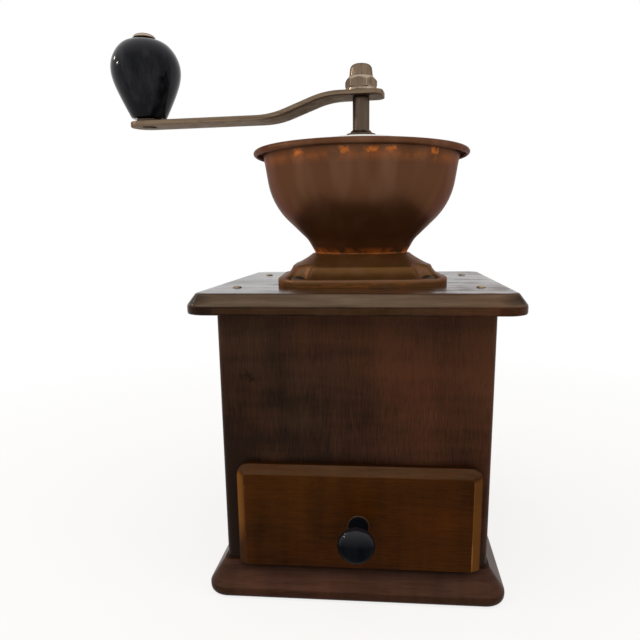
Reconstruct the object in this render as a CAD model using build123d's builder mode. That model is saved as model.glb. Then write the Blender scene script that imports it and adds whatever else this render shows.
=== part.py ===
from build123d import *
import os
from math import cos, radians, sin, sqrt, tan

# Hand crank coffee grinder: a wooden box mill with a copper hopper, conical burrs and a drawer.
# Millimetres, +Z up. The drawer faces -Y. The origin is under the base, on the crank's axis.

# Clearances
running_clearance = 0.05
screw_clearance = 0.05
slide_clearance = 0.3

# Case: base board, four walls and top board
body_width = 115.0
body_depth = 115.0
body_height = 111.0
wall = 9.0
body_edge_round = 3.2
base_overhang = 8.0
base_thickness = 15.4
base_edge = 5.0
base_bevel_run = 7.0
base_corner = 9.0
base_top_corner = 3.0
base_foot_round = 3.2
top_overhang = 10.75
top_thickness = 8.4
top_edge = 3.6
top_bevel_run = 3.7
top_corner = 9.0
top_inner_corner = 5.5
top_underside_round = 0.8

# Fasteners of the case
countersink_angle = 90.0
slot_share = 0.25
base_screw_spread = 60.0
base_screw_head = 4.0
base_screw_shank = 2.0
base_screw_grip = 14.0
nail_spread = 74.0
nail_head = 2.0
nail_head_height = 0.7
nail_shank = 1.0
nail_grip = 16.0

# Drawer
opening_height = 40.0
drawer_left_gap = 3.5
drawer_right_gap = 0.5
drawer_back_gap = 8.0
drawer_headroom = 3.5
drawer_side = 5.0
drawer_bottom_thickness = 3.0
front_lap = 5.8
front_top_lap = 6.4
front_bottom_gap = 0.6
front_edge = 3.0
front_bevel_depth = 2.6
front_bevel_inset = 3.9
front_corner = 5.5
front_panel_corner = 1.8
front_core = 7.0
drawer_nail_spacing = 38.0
drawer_nail_head = 1.6
drawer_nail_head_height = 0.8
drawer_nail_shank = 0.7
drawer_nail_grip = 9.0

# Drawer knob
knob_ball_radius = 7.3
knob_reach = 15.0
knob_height = 20.1
knob_shift = 0.4
knob_collar_radius = 4.6
knob_collar_height = 0.8
knob_neck_radius = 4.2
knob_screw_head = 3.6
knob_screw_head_height = 2.0
knob_screw_shank = 1.8
knob_screw_grip = 8.0

# Hopper flange, a rounded square at the board that turns round at the neck
flange_width = 77.2
flange_corner = 17.0
flange_sheet = 1.0
flange_lip_height = 3.4
flange_cove_inset = 5.2
flange_cove_height = 5.8
flange_step_inset = 6.9
flange_step_height = 7.9
flange_crown_inset = 11.3
flange_crown_height = 10.5
flange_height = 13.5
flange_neck_flat = 1.0
flange_screw_inset = 6.55
flange_turn = 4.5
flange_dimple_radius = 4.2
flange_dimple_floor = 2.6
flange_screw_head = 3.3
flange_screw_head_height = 1.9
flange_screw_shank = 1.7
flange_screw_grip = 6.0

# Hopper bowl: inside radii and their heights above the flange
bowl_sheet = 0.9
bowl_spigot_radius = 21.5
bowl_spigot_depth = 4.0
bowl_neck_wall = 1.0
bowl_foot_round = 2.0
bowl_belly_radius = 41.7
bowl_belly_height = 23.2
bowl_belly_round = 30.0
bowl_wall_radius = 44.3
bowl_wall_height = 40.2
bowl_wall_round = 8.0
rim_flare = 1.0
rim_height = 44.8
rim_bead_radius = 2.6
rim_curl = 220.0

# Bridge across the bowl and the bush that steadies the shaft
bridge_width = 16.0
bridge_thickness = 2.0
bridge_tab = 4.0
bridge_rise = 6.3
bush_height = 2.6
bush_flange_radius = 6.9
bush_flange_height = 0.5
bush_top_radius = 4.5
bush_spigot_radius = 5.4
bush_spigot_length = 2.5

# Shaft and crank
shaft_radius = 3.9
shaft_reach = 14.65
crank_heading = 174.0
crank_radius = 106.8
arm_width = 16.5
arm_thickness = 2.3
arm_eye_reach = 10.5
arm_end_reach = 9.2
arm_drop = 9.15
joggle_start = 17.0
joggle_run = 26.0
arm_bend_radius = 9.0
tang_width = 5.6
stud_radius = 2.9
washer_radius = 7.4
washer_thickness = 1.4
nut_flats = 13.0
nut_hex_height = 5.4
nut_dome_radius = 5.15
nut_dome_height = 5.2
nut_dome_round = 2.5
nut_roof = 1.6
nut_turn = -7.0

# Grip and its pin
grip_height = 35.6
grip_bottom_radius = 8.3
grip_flank_radius = 14.0
grip_flank_height = 12.0
grip_belly_radius = 16.5
grip_belly_height = 25.0
grip_top_radius = 7.0
grip_foot_lean = 0.5
grip_crown_rise = 0.12
grip_washer_radius = 6.0
grip_washer_thickness = 1.4
pin_radius = 3.0
pin_head_radius = 5.4
pin_head_gap = 1.2
pin_head_height = 2.4
pin_tail_radius = 3.7
pin_tail_height = 0.5

# Burrs
ring_barrel_radius = 23.5
ring_throat_fit = 0.5
ring_top_gap = 1.0
ring_flange_length = 88.0
ring_flange_width = 56.0
ring_flange_corner = 8.0
ring_flange_thickness = 4.0
ring_drop = 28.0
ring_mouth_radius = 20.5
ring_waist_radius = 16.0
ring_waist_depth = 9.0
ring_skirt_radius = 18.6
ring_tooth_depth = 1.3
ring_teeth = 24
ring_screw_x = 37.0
ring_screw_y = 20.0
ring_screw_head = 3.6
ring_screw_head_height = 2.2
ring_screw_shank = 1.9
ring_screw_grip = 6.0
burr_gap = 0.6
burr_top_radius = 8.5
burr_tooth_depth = 1.6
burr_teeth = 18
burr_twist = 24.0
burr_nut_flats = 13.0
burr_nut_height = 5.0
feed_hub_radius = 6.5
feed_height = 13.0
feed_vane_reach = 13.0
feed_vane_thickness = 3.0
feed_vanes = 3
feed_twist = 55.0

# Lower bracket, thrust ball and adjuster
shaft_tail = 3.0
ball_radius = 2.2
ball_seat_depth = 1.2
bracket_strip = 3.0
bracket_width = 14.0
bracket_leg_gap = 2.0
bracket_foot = 13.5
bracket_bend_radius = 4.0
screw_tip = 3.0
adjuster_stem_radius = 4.0
adjuster_neck = 6.0
wheel_radius = 13.0
wheel_thickness = 6.0
wheel_notches = 24
wheel_notch_radius = 0.9
spring_sheet = 0.8
spring_width = 8.0
spring_pad = 8.0
spring_pad_start = 13.5
spring_finger = 6.0
spring_finger_drop = 4.0
spring_bend_radius = 1.5
rivet_radius = 1.4
rivet_head_radius = 2.6
rivet_crown_radius = 1.3
rivet_head_height = 0.9

# Heights of the stack, bottom to top
z_base = base_thickness
z_body = z_base + body_height
z_board = z_body + top_thickness
z_flange = z_board + flange_height
z_rim = z_flange + rim_height + rim_bead_radius
z_bridge = z_rim + bridge_rise
z_bush = z_bridge + bush_height
z_arm_bottom = z_bush + shaft_reach
z_arm = z_arm_bottom + arm_thickness
z_washer = z_arm + washer_thickness
z_hex = z_washer + nut_hex_height
z_nut = z_hex + nut_dome_height
z_low_arm = z_arm - arm_drop
z_grip = z_low_arm + grip_washer_thickness + slide_clearance
z_grip_top = z_grip + grip_height

# Heights of the grinding works, top to bottom
z_ring_flange = z_body - ring_flange_thickness
z_waist = z_body - ring_waist_depth
z_ring_bottom = z_ring_flange - ring_drop
z_burr_nut = z_ring_bottom - burr_nut_height
z_shaft_end = z_burr_nut - shaft_tail
z_ball = z_shaft_end - (ball_radius - ball_seat_depth)
z_tip = z_ball - (ball_radius - ball_seat_depth)
z_bar = z_tip - screw_tip
z_bar_bottom = z_bar - bracket_strip
z_wheel = z_bar_bottom - adjuster_neck

# Places in plan
half_width = body_width / 2
half_depth = body_depth / 2
side_wall_x = half_width - wall / 2
inner_width = body_width - 2 * wall
inner_depth = body_depth - 2 * wall
arm_x = cos(radians(crank_heading))
arm_y = sin(radians(crank_heading))
grip_x = crank_radius * arm_x
grip_y = crank_radius * arm_y
drawer_width = inner_width - drawer_left_gap - drawer_right_gap
drawer_x = (drawer_left_gap - drawer_right_gap) / 2
drawer_length = body_depth - wall - drawer_back_gap
drawer_side_x = (drawer_width - drawer_side) / 2
lip_back_y = -half_depth - slide_clearance
drawer_middle_y = lip_back_y + drawer_length / 2
lip_face_y = lip_back_y - front_edge - front_bevel_depth
z_drawer = z_base + slide_clearance
z_tray = z_drawer + drawer_bottom_thickness
z_drawer_top = z_base + opening_height - drawer_headroom
side_height = z_drawer_top - z_tray
z_front = z_base + front_bottom_gap
front_width = drawer_width + 2 * front_lap
front_height = opening_height + front_top_lap - front_bottom_gap
z_knob = z_front + knob_height
knob_x = drawer_x + knob_shift
core_face_y = lip_back_y + front_core
rivet_x = spring_pad_start + spring_pad / 2

wall_screw_places = [
    (side * side_wall_x, end * base_screw_spread / 2) for side in (-1, 1) for end in (-1, 1)
]
wall_nail_places = [(side * side_wall_x, end * nail_spread / 2) for side in (-1, 1) for end in (-1, 1)]
flange_corner_reach = sqrt(2) * (flange_width / 2 - flange_corner) + flange_corner
flange_screw_radius = flange_corner_reach - flange_screw_inset
flange_screw_headings = [radians(flange_turn + corner) for corner in (45, 135, 225, 315)]
flange_screw_places = [
    (flange_screw_radius * cos(heading), flange_screw_radius * sin(heading))
    for heading in flange_screw_headings
]
ring_screw_places = [(side * ring_screw_x, end * ring_screw_y) for side in (-1, 1) for end in (-1, 1)]
bracket_screw_places = [(-ring_screw_x, 0), (ring_screw_x, 0)]
drawer_nail_places = [
    (drawer_x + side * drawer_side_x, drawer_middle_y + step * drawer_nail_spacing)
    for side in (-1, 1)
    for step in (-1, 0, 1)
]


def facing_front(x, y, z):
    """Plane at (x, y, z) that faces -Y, with its own y along world Z."""
    return Plane(origin=(x, y, z), x_dir=(1, 0, 0), z_dir=(0, -1, 0))


def bevelled_board(width, depth, corner, edge, bevel_run, inner_corner, thickness):
    """Board standing on z = 0 with an upright edge, a bevel above it and rounded corners."""
    with BuildPart() as board:
        with BuildSketch():
            RectangleRounded(width, depth, corner)
        extrude(amount=edge)
        with BuildSketch(Plane.XY.offset(edge)):
            RectangleRounded(width, depth, corner)
        with BuildSketch(Plane.XY.offset(thickness)):
            RectangleRounded(width - 2 * bevel_run, depth - 2 * bevel_run, inner_corner)
        loft(ruled=True)
    return board.part


def countersunk_screw(head, shank, length):
    """Slotted screw with its flat head at z = 0 and its shank down."""
    sink = (head - shank) / tan(radians(countersink_angle / 2))
    with BuildPart() as screw:
        with BuildSketch(Plane.XZ):
            Polygon((0, 0), (head, 0), (shank, -sink), (shank, -length), (0, -length), align=None)
        revolve(axis=Axis.Z)
        with BuildSketch():
            Rectangle(2 * head, slot_share * head)
        extrude(amount=-slot_share * head, mode=Mode.SUBTRACT)
    return screw.part


def domed_screw(head, head_height, shank, length, slotted=True):
    """Screw or nail with a domed head standing on z = 0 and its shank down."""
    with BuildPart() as screw:
        with BuildSketch(Plane.XZ):
            with BuildLine():
                Polyline((0, head_height), (0, -length), (shank, -length), (shank, 0), (head, 0))
                Spline((head, 0), (0, head_height), tangents=((0, 1), (-1, 0)))
            make_face()
        revolve(axis=Axis.Z)
        if slotted:
            with BuildSketch(Plane.XY.offset(head_height)):
                Rectangle(2 * head, slot_share * head)
            extrude(amount=-2 * slot_share * head_height, mode=Mode.SUBTRACT)
    return screw.part


def hex_prism_radius(flats):
    """Corner radius of a hexagon of that size across its flats."""
    return flats / sqrt(3)


def toothed_outline(tip, root, teeth, turn):
    """Corners of a ring of teeth that reach from the root radius to the tip radius."""
    step = 180 / teeth
    radii = [tip, root] * teeth
    angles = [radians(turn + index * step) for index in range(2 * teeth)]
    return [(radius * cos(angle), radius * sin(angle)) for radius, angle in zip(radii, angles)]


# Base board with its upper edge bevelled, screwed to the side walls from below
with BuildPart() as base_board:
    add(
        bevelled_board(
            body_width + 2 * base_overhang,
            body_depth + 2 * base_overhang,
            base_corner,
            base_edge,
            base_bevel_run,
            base_top_corner,
            base_thickness,
        )
    )
    fillet(base_board.edges().group_by(Axis.Z)[0], base_foot_round)
    with Locations([Location((x, y, 0), (180, 0, 0)) for x, y in wall_screw_places]):
        CounterSinkHole(
            base_screw_shank + screw_clearance,
            base_screw_head + screw_clearance,
            depth=base_thickness,
            counter_sink_angle=countersink_angle,
        )

# Side walls stand between the front and back walls
side_walls = {}
for name, side in (("left_wall", -1), ("right_wall", 1)):
    with BuildPart() as side_wall:
        with BuildSketch(Plane.XY.offset(z_base)):
            with Locations((side * side_wall_x, 0)):
                Rectangle(wall, inner_depth)
        extrude(amount=body_height)
        with BuildSketch(Plane.XY.offset(z_base)):
            with Locations([place for place in wall_screw_places if place[0] * side > 0]):
                Circle(base_screw_shank + screw_clearance)
        extrude(amount=base_screw_grip, mode=Mode.SUBTRACT)
        with BuildSketch(Plane.XY.offset(z_body)):
            with Locations([place for place in wall_nail_places if place[0] * side > 0]):
                Circle(nail_shank + screw_clearance)
        extrude(amount=-nail_grip, mode=Mode.SUBTRACT)
    side_walls[name] = side_wall

# Front wall with the drawer opening cut up from its foot
with BuildPart() as front_wall:
    with BuildSketch(Plane.XY.offset(z_base)):
        with Locations((0, (wall - body_depth) / 2)):
            Rectangle(body_width, wall)
    extrude(amount=body_height)
    outer_edges = front_wall.edges().filter_by(Axis.Z).group_by(Axis.Y)[0]
    fillet(outer_edges, body_edge_round)
    with BuildSketch(facing_front(0, -half_depth, z_base)):
        Rectangle(inner_width, opening_height, align=(Align.CENTER, Align.MIN))
    extrude(amount=-wall, mode=Mode.SUBTRACT)

with BuildPart() as back_wall:
    with BuildSketch(Plane.XY.offset(z_base)):
        with Locations((0, (body_depth - wall) / 2)):
            Rectangle(body_width, wall)
    extrude(amount=body_height)
    fillet(back_wall.edges().filter_by(Axis.Z).group_by(Axis.Y)[-1], body_edge_round)

# Top board with the throat through it
top_blank = bevelled_board(
    body_width + 2 * top_overhang,
    body_depth + 2 * top_overhang,
    top_corner,
    top_edge,
    top_bevel_run,
    top_inner_corner,
    top_thickness,
)
with BuildPart() as top_board:
    add(top_blank.moved(Location((0, 0, z_body))))
    fillet(top_board.edges().group_by(Axis.Z)[0], top_underside_round)
    with BuildSketch(Plane.XY.offset(z_body)):
        Circle(ring_barrel_radius + ring_throat_fit)
        with Locations(wall_nail_places):
            Circle(nail_shank + screw_clearance)
    extrude(amount=top_thickness, mode=Mode.SUBTRACT)
    with BuildSketch(Plane.XY.offset(z_body)):
        with Locations(ring_screw_places + bracket_screw_places):
            Circle(ring_screw_shank + screw_clearance)
    extrude(amount=ring_screw_grip, mode=Mode.SUBTRACT)
    with BuildSketch(Plane.XY.offset(z_board)):
        with Locations(flange_screw_places):
            Circle(flange_screw_shank + screw_clearance)
    extrude(amount=-flange_screw_grip, mode=Mode.SUBTRACT)

base_screw = countersunk_screw(base_screw_head, base_screw_shank, base_thickness + base_screw_grip)
with BuildPart() as base_screws:
    with Locations([Location((x, y, 0), (180, 0, 0)) for x, y in wall_screw_places]):
        add(base_screw)

board_nail = domed_screw(nail_head, nail_head_height, nail_shank, top_thickness + nail_grip, slotted=False)
with BuildPart() as top_board_nails:
    with Locations([(x, y, z_board) for x, y in wall_nail_places]):
        add(board_nail)


# Hopper flange: one sheet pressed from a rounded square lip, up a cove and a step, to a round neck
flange_neck_half = bowl_spigot_radius + bowl_sheet + bowl_neck_wall
flange_neck_inset = flange_width / 2 - flange_neck_half


def flange_section(inset, sheet):
    """Half width and corner radius of the pressing at that distance in from the lip."""
    share = inset / flange_neck_inset
    half = flange_width / 2 - inset - sheet
    corner = flange_corner + share * (flange_neck_half - flange_neck_flat - flange_corner) - sheet
    return half, corner


def flange_form(sheet):
    """Solid form of the flange, drawn in by the sheet's thickness for its hollow underside."""
    levels = [
        (0, 0),
        (0, flange_lip_height - sheet),
        (flange_cove_inset, flange_cove_height - sheet),
        (flange_step_inset, flange_step_height - sheet),
        (flange_crown_inset, flange_crown_height - sheet),
        (flange_neck_inset, flange_height - sheet),
    ]
    with BuildPart() as form:
        for lower, upper in zip(levels, levels[1:]):
            for inset, height in (lower, upper):
                half, corner = flange_section(inset, sheet)
                with BuildSketch(Plane.XY.offset(z_board + height).rotated((0, 0, flange_turn))):
                    RectangleRounded(2 * half, 2 * half, corner)
            loft(ruled=True)
    return form.part


flange_outside = flange_form(0)
flange_hollow = flange_form(flange_sheet)
with BuildPart() as flange_cups:
    with BuildSketch(Plane.XY.offset(z_board)):
        with Locations(flange_screw_places):
            Circle(flange_dimple_radius + flange_sheet)
    extrude(amount=flange_height)
    add(flange_outside, mode=Mode.INTERSECT)
with BuildPart() as hopper_flange:
    add(flange_outside)
    add(flange_hollow, mode=Mode.SUBTRACT)
    add(flange_cups.part)
    with BuildSketch(Plane.XY.offset(z_board + flange_dimple_floor)):
        with Locations(flange_screw_places):
            Circle(flange_dimple_radius)
    extrude(amount=flange_height, mode=Mode.SUBTRACT)
    with BuildSketch(Plane.XY.offset(z_board)):
        Circle(bowl_spigot_radius + bowl_sheet + screw_clearance)
        with Locations(flange_screw_places):
            Circle(flange_screw_shank + screw_clearance)
    extrude(amount=flange_height, mode=Mode.SUBTRACT)

flange_screw = domed_screw(
    flange_screw_head, flange_screw_head_height, flange_screw_shank, flange_dimple_floor + flange_screw_grip
)
with BuildPart() as flange_screws:
    with Locations([(x, y, z_board + flange_dimple_floor) for x, y in flange_screw_places]):
        add(flange_screw)

# Hopper bowl: spun copper, its rim rolled outwards over a hollow bead
wall_top = Vector(bowl_wall_radius, z_flange + bowl_wall_height)
rim_start = Vector(bowl_wall_radius + rim_flare, z_flange + rim_height)
with BuildPart() as hopper_bowl:
    with BuildSketch(Plane.XZ):
        with BuildLine():
            FilletPolyline(
                (bowl_spigot_radius, z_flange - bowl_spigot_depth),
                (bowl_spigot_radius, z_flange + bowl_foot_round / 2),
                (bowl_belly_radius, z_flange + bowl_belly_height),
                wall_top,
                rim_start,
                radius=(bowl_foot_round, bowl_belly_round, bowl_wall_round),
            )
            JernArc(rim_start, rim_start - wall_top, rim_bead_radius, -rim_curl)
            offset(amount=bowl_sheet, side=Side.RIGHT)
        make_face()
    revolve(axis=Axis.Z)

# Bridge: a bent strap between the bowl's walls, arched over the rim's height
bridge_reach = sqrt(bowl_wall_radius**2 - (bridge_width / 2) ** 2) - screw_clearance
z_tab = z_flange + bowl_wall_height
with BuildPart() as hopper_bridge:
    with BuildSketch(Plane.XZ):
        with BuildLine():
            Line((-bridge_reach, z_tab), (-bridge_reach, z_tab + bridge_tab))
            ThreePointArc(
                (-bridge_reach, z_tab + bridge_tab), (0, z_bridge), (bridge_reach, z_tab + bridge_tab)
            )
            Line((bridge_reach, z_tab + bridge_tab), (bridge_reach, z_tab))
            offset(amount=bridge_thickness, side=Side.RIGHT)
        make_face()
    extrude(amount=bridge_width / 2, both=True)
    with BuildSketch(Plane.XY.offset(z_tab)):
        Circle(bush_spigot_radius + screw_clearance)
    extrude(amount=z_bridge - z_tab, mode=Mode.SUBTRACT)

with BuildPart() as bridge_bush:
    with BuildSketch(Plane.XZ):
        Polygon(
            (shaft_radius + running_clearance, z_bridge - bridge_thickness - bush_spigot_length),
            (bush_spigot_radius, z_bridge - bridge_thickness - bush_spigot_length),
            (bush_spigot_radius, z_bridge),
            (bush_flange_radius, z_bridge),
            (bush_flange_radius, z_bridge + bush_flange_height),
            (bush_top_radius, z_bush),
            (shaft_radius + running_clearance, z_bush),
            align=None,
        )
    revolve(axis=Axis.Z)

# Drive shaft with a ball seat below, and a square tang and a stud above
with BuildPart() as drive_shaft:
    with BuildSketch(Plane.XY.offset(z_shaft_end)):
        Circle(shaft_radius)
    extrude(amount=z_arm_bottom - z_shaft_end)
    with BuildSketch(Plane.XY.offset(z_arm_bottom).rotated((0, 0, crank_heading))):
        Rectangle(tang_width, tang_width)
    extrude(amount=arm_thickness)
    with BuildSketch(Plane.XY.offset(z_arm)):
        Circle(stud_radius)
    extrude(amount=z_nut - nut_roof - z_arm)
    with Locations((0, 0, z_ball)):
        Sphere(ball_radius + running_clearance, mode=Mode.SUBTRACT)

# Crank arm: a steel strip with a joggle, rounded at both ends
arm_side_plane = Plane(origin=(0, 0, 0), x_dir=(arm_x, arm_y, 0), z_dir=(arm_y, -arm_x, 0))
with BuildPart() as crank_arm:
    with BuildSketch(arm_side_plane):
        with BuildLine():
            FilletPolyline(
                (-arm_eye_reach, z_arm_bottom),
                (joggle_start, z_arm_bottom),
                (joggle_start + joggle_run, z_arm_bottom - arm_drop),
                (crank_radius + arm_end_reach, z_arm_bottom - arm_drop),
                radius=arm_bend_radius,
            )
            offset(amount=arm_thickness, side=Side.LEFT)
        make_face()
    extrude(amount=arm_width / 2, both=True)
    with BuildSketch(Plane.XY.offset(z_low_arm - arm_thickness).rotated((0, 0, crank_heading))):
        with Locations(((crank_radius + arm_end_reach - arm_eye_reach) / 2, 0)):
            SlotOverall(crank_radius + arm_end_reach + arm_eye_reach, arm_width)
    extrude(amount=arm_drop + arm_thickness, mode=Mode.INTERSECT)
    with BuildSketch(Plane.XY.offset(z_low_arm - arm_thickness).rotated((0, 0, crank_heading))):
        Rectangle(tang_width + 2 * screw_clearance, tang_width + 2 * screw_clearance)
        with Locations((crank_radius, 0)):
            Circle(pin_radius + screw_clearance)
    extrude(amount=arm_drop + arm_thickness, mode=Mode.SUBTRACT)

with BuildPart() as crank_washer:
    with BuildSketch(Plane.XY.offset(z_arm)):
        Circle(washer_radius)
        Circle(stud_radius + screw_clearance, mode=Mode.SUBTRACT)
    extrude(amount=washer_thickness)

# Cap nut: a hexagon with a round dome over the end of the stud
with BuildPart() as cap_nut:
    with BuildSketch(Plane.XY.offset(z_washer).rotated((0, 0, nut_turn))):
        RegularPolygon(hex_prism_radius(nut_flats), 6)
    extrude(amount=nut_hex_height)
    hex_corner = hex_prism_radius(nut_flats)
    corner_bevel = (hex_corner - nut_flats / 2) / 2
    with BuildSketch(Plane.XZ):
        Polygon(
            (0, z_washer),
            (hex_corner - corner_bevel, z_washer),
            (hex_corner, z_washer + corner_bevel),
            (hex_corner, z_hex - corner_bevel),
            (hex_corner - 2 * corner_bevel, z_hex),
            (0, z_hex),
            align=None,
        )
    revolve(axis=Axis.Z, mode=Mode.INTERSECT)
    with BuildSketch(Plane.XY.offset(z_hex)):
        Circle(nut_dome_radius)
    extrude(amount=nut_dome_height)
    fillet(cap_nut.edges().group_by(Axis.Z)[-1], nut_dome_round)
    with BuildSketch(Plane.XY.offset(z_washer)):
        Circle(stud_radius + screw_clearance)
    extrude(amount=z_nut - nut_roof - z_washer, mode=Mode.SUBTRACT)

with BuildPart() as grip_washer:
    with BuildSketch(Plane.XY.offset(z_low_arm)):
        with Locations((grip_x, grip_y)):
            Circle(grip_washer_radius)
            Circle(pin_radius + screw_clearance, mode=Mode.SUBTRACT)
    extrude(amount=grip_washer_thickness)

# Grip pin: riveted under the arm, with a domed head over the grip
z_pin_head = z_grip_top + pin_head_gap
z_pin_tail = z_low_arm - arm_thickness
with BuildPart() as grip_pin:
    with BuildSketch(facing_front(grip_x, grip_y, 0)):
        with BuildLine():
            Polyline(
                (0, z_pin_head + pin_head_height),
                (0, z_pin_tail - pin_tail_height),
                (pin_tail_radius - pin_tail_height, z_pin_tail - pin_tail_height),
                (pin_tail_radius, z_pin_tail),
                (pin_radius, z_pin_tail),
                (pin_radius, z_pin_head),
                (pin_head_radius, z_pin_head),
            )
            Spline(
                (pin_head_radius, z_pin_head),
                (0, z_pin_head + pin_head_height),
                tangents=((0, 1), (-1, 0)),
            )
        make_face()
    revolve(axis=Axis((grip_x, grip_y, 0), (0, 0, 1)))

# Grip: an egg that stands on its narrow end and turns on the pin
grip_bore = pin_radius + 2 * running_clearance
with BuildPart() as grip:
    with BuildSketch(facing_front(grip_x, grip_y, 0)):
        with BuildLine():
            Polyline(
                (grip_top_radius, z_grip_top),
                (grip_bore, z_grip_top),
                (grip_bore, z_grip),
                (grip_bottom_radius, z_grip),
            )
            Spline(
                (grip_bottom_radius, z_grip),
                (grip_flank_radius, z_grip + grip_flank_height),
                (grip_belly_radius, z_grip + grip_belly_height),
                (grip_top_radius, z_grip_top),
                tangents=((grip_foot_lean, 1), (-1, grip_crown_rise)),
            )
        make_face()
    revolve(axis=Axis((grip_x, grip_y, 0), (0, 0, 1)))

# Outer burr: a toothed ring whose barrel fills the throat, hung by its flange under the top board
with BuildPart() as burr_ring:
    with BuildSketch(Plane.XY.offset(z_ring_flange)):
        RectangleRounded(ring_flange_length, ring_flange_width, ring_flange_corner)
    extrude(amount=ring_flange_thickness)
    with BuildSketch(Plane.XY.offset(z_ring_bottom)):
        Circle(ring_barrel_radius)
    extrude(amount=z_board - ring_top_gap - z_ring_bottom)
    with BuildSketch(Plane.XY.offset(z_waist)):
        Circle(ring_waist_radius + ring_tooth_depth)
    with BuildSketch(Plane.XY.offset(z_board - ring_top_gap)):
        Circle(ring_mouth_radius)
    loft(ruled=True, mode=Mode.SUBTRACT)
    ring_ends = ((ring_skirt_radius, z_ring_bottom, 0), (ring_waist_radius, z_waist, burr_twist))
    for radius, height, turn in ring_ends:
        with BuildSketch(Plane.XY.offset(height)):
            Polygon(*toothed_outline(radius, radius + ring_tooth_depth, ring_teeth, turn), align=None)
    loft(ruled=True, mode=Mode.SUBTRACT)
    with BuildSketch(Plane.XY.offset(z_ring_flange)):
        with Locations(ring_screw_places + bracket_screw_places):
            Circle(ring_screw_shank + screw_clearance)
    extrude(amount=ring_flange_thickness, mode=Mode.SUBTRACT)

ring_screw = domed_screw(
    ring_screw_head, ring_screw_head_height, ring_screw_shank, ring_flange_thickness + ring_screw_grip
)
with BuildPart() as burr_ring_screws:
    with Locations([Location((x, y, z_ring_flange), (180, 0, 0)) for x, y in ring_screw_places]):
        add(ring_screw)

# Inner burr: a toothed cone clamped on the shaft by its nut
burr_foot_radius = ring_skirt_radius - burr_gap
with BuildPart() as inner_burr:
    burr_ends = ((burr_foot_radius, z_ring_bottom, 0), (burr_top_radius, z_waist, -burr_twist))
    for radius, height, turn in burr_ends:
        with BuildSketch(Plane.XY.offset(height)):
            Polygon(*toothed_outline(radius, radius - burr_tooth_depth, burr_teeth, turn), align=None)
    loft(ruled=True)
    with BuildSketch(Plane.XY.offset(z_ring_bottom)):
        Circle(shaft_radius + screw_clearance)
    extrude(amount=z_waist - z_ring_bottom, mode=Mode.SUBTRACT)

with BuildPart() as burr_nut:
    with BuildSketch(Plane.XY.offset(z_burr_nut)):
        RegularPolygon(hex_prism_radius(burr_nut_flats), 6)
        Circle(shaft_radius + screw_clearance, mode=Mode.SUBTRACT)
    extrude(amount=burr_nut_height)

# Feed screw: slanted vanes on a hub that push the beans down into the burrs
with BuildPart() as feed_screw:
    with BuildSketch(Plane.XY.offset(z_waist)):
        Circle(feed_hub_radius)
    extrude(amount=feed_height)
    for vane in range(feed_vanes):
        start = vane * 360 / feed_vanes
        for height, turn in ((z_waist, start), (z_waist + feed_height, start + feed_twist)):
            with BuildSketch(Plane.XY.offset(height).rotated((0, 0, turn))):
                Rectangle(feed_vane_reach, feed_vane_thickness, align=(Align.MIN, Align.CENTER))
        loft(ruled=True)
    with BuildSketch(Plane.XY.offset(z_waist)):
        Circle(shaft_radius + screw_clearance)
    extrude(amount=feed_height, mode=Mode.SUBTRACT)

# Lower bracket: a bent strap under the burrs that carries the adjuster
bracket_leg_x = ring_barrel_radius + bracket_leg_gap + bracket_strip
z_foot = z_ring_flange - bracket_strip
with BuildPart() as lower_bracket:
    with BuildSketch(Plane.XZ):
        with BuildLine():
            FilletPolyline(
                (-bracket_leg_x - bracket_foot, z_foot),
                (-bracket_leg_x, z_foot),
                (-bracket_leg_x, z_bar_bottom),
                (bracket_leg_x, z_bar_bottom),
                (bracket_leg_x, z_foot),
                (bracket_leg_x + bracket_foot, z_foot),
                radius=bracket_bend_radius,
            )
            offset(amount=bracket_strip, side=Side.LEFT)
        make_face()
    extrude(amount=bracket_width / 2, both=True)
    with BuildSketch(Plane.XY.offset(z_foot)):
        with Locations(bracket_screw_places):
            Circle(ring_screw_shank + screw_clearance)
    extrude(amount=bracket_strip, mode=Mode.SUBTRACT)
    with BuildSketch(Plane.XY.offset(z_bar_bottom)):
        Circle(adjuster_stem_radius + running_clearance)
        with Locations((rivet_x, 0)):
            Circle(rivet_radius + screw_clearance)
    extrude(amount=bracket_strip, mode=Mode.SUBTRACT)

bracket_screw = domed_screw(
    ring_screw_head,
    ring_screw_head_height,
    ring_screw_shank,
    bracket_strip + ring_flange_thickness + ring_screw_grip,
)
with BuildPart() as bracket_screws:
    with Locations([Location((x, y, z_foot), (180, 0, 0)) for x, y in bracket_screw_places]):
        add(bracket_screw)

with BuildPart() as thrust_ball:
    with Locations((0, 0, z_ball)):
        Sphere(ball_radius)

# Adjusting wheel: a notched wheel on a stem that lifts the ball and the shaft
with BuildPart() as adjusting_wheel:
    with BuildSketch(Plane.XY.offset(z_wheel - wheel_thickness)):
        Circle(wheel_radius)
        with PolarLocations(wheel_radius, wheel_notches):
            Circle(wheel_notch_radius, mode=Mode.SUBTRACT)
    extrude(amount=wheel_thickness)
    with BuildSketch(Plane.XY.offset(z_wheel)):
        Circle(adjuster_stem_radius)
    extrude(amount=z_tip - z_wheel)
    with Locations((0, 0, z_ball)):
        Sphere(ball_radius + running_clearance, mode=Mode.SUBTRACT)

# Click spring: a bent strip riveted under the bar, with its finger over the wheel's rim
with BuildPart() as click_spring:
    with BuildSketch(Plane.XZ):
        with BuildLine():
            FilletPolyline(
                (spring_pad_start + spring_pad, z_bar_bottom),
                (spring_pad_start, z_bar_bottom),
                (spring_pad_start - spring_finger, z_bar_bottom - spring_finger_drop),
                radius=spring_bend_radius,
            )
            offset(amount=spring_sheet, side=Side.LEFT)
        make_face()
    extrude(amount=spring_width / 2, both=True)
    with BuildSketch(Plane.XY.offset(z_bar_bottom - spring_sheet)):
        with Locations((rivet_x, 0)):
            Circle(rivet_radius + screw_clearance)
    extrude(amount=spring_sheet, mode=Mode.SUBTRACT)

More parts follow.
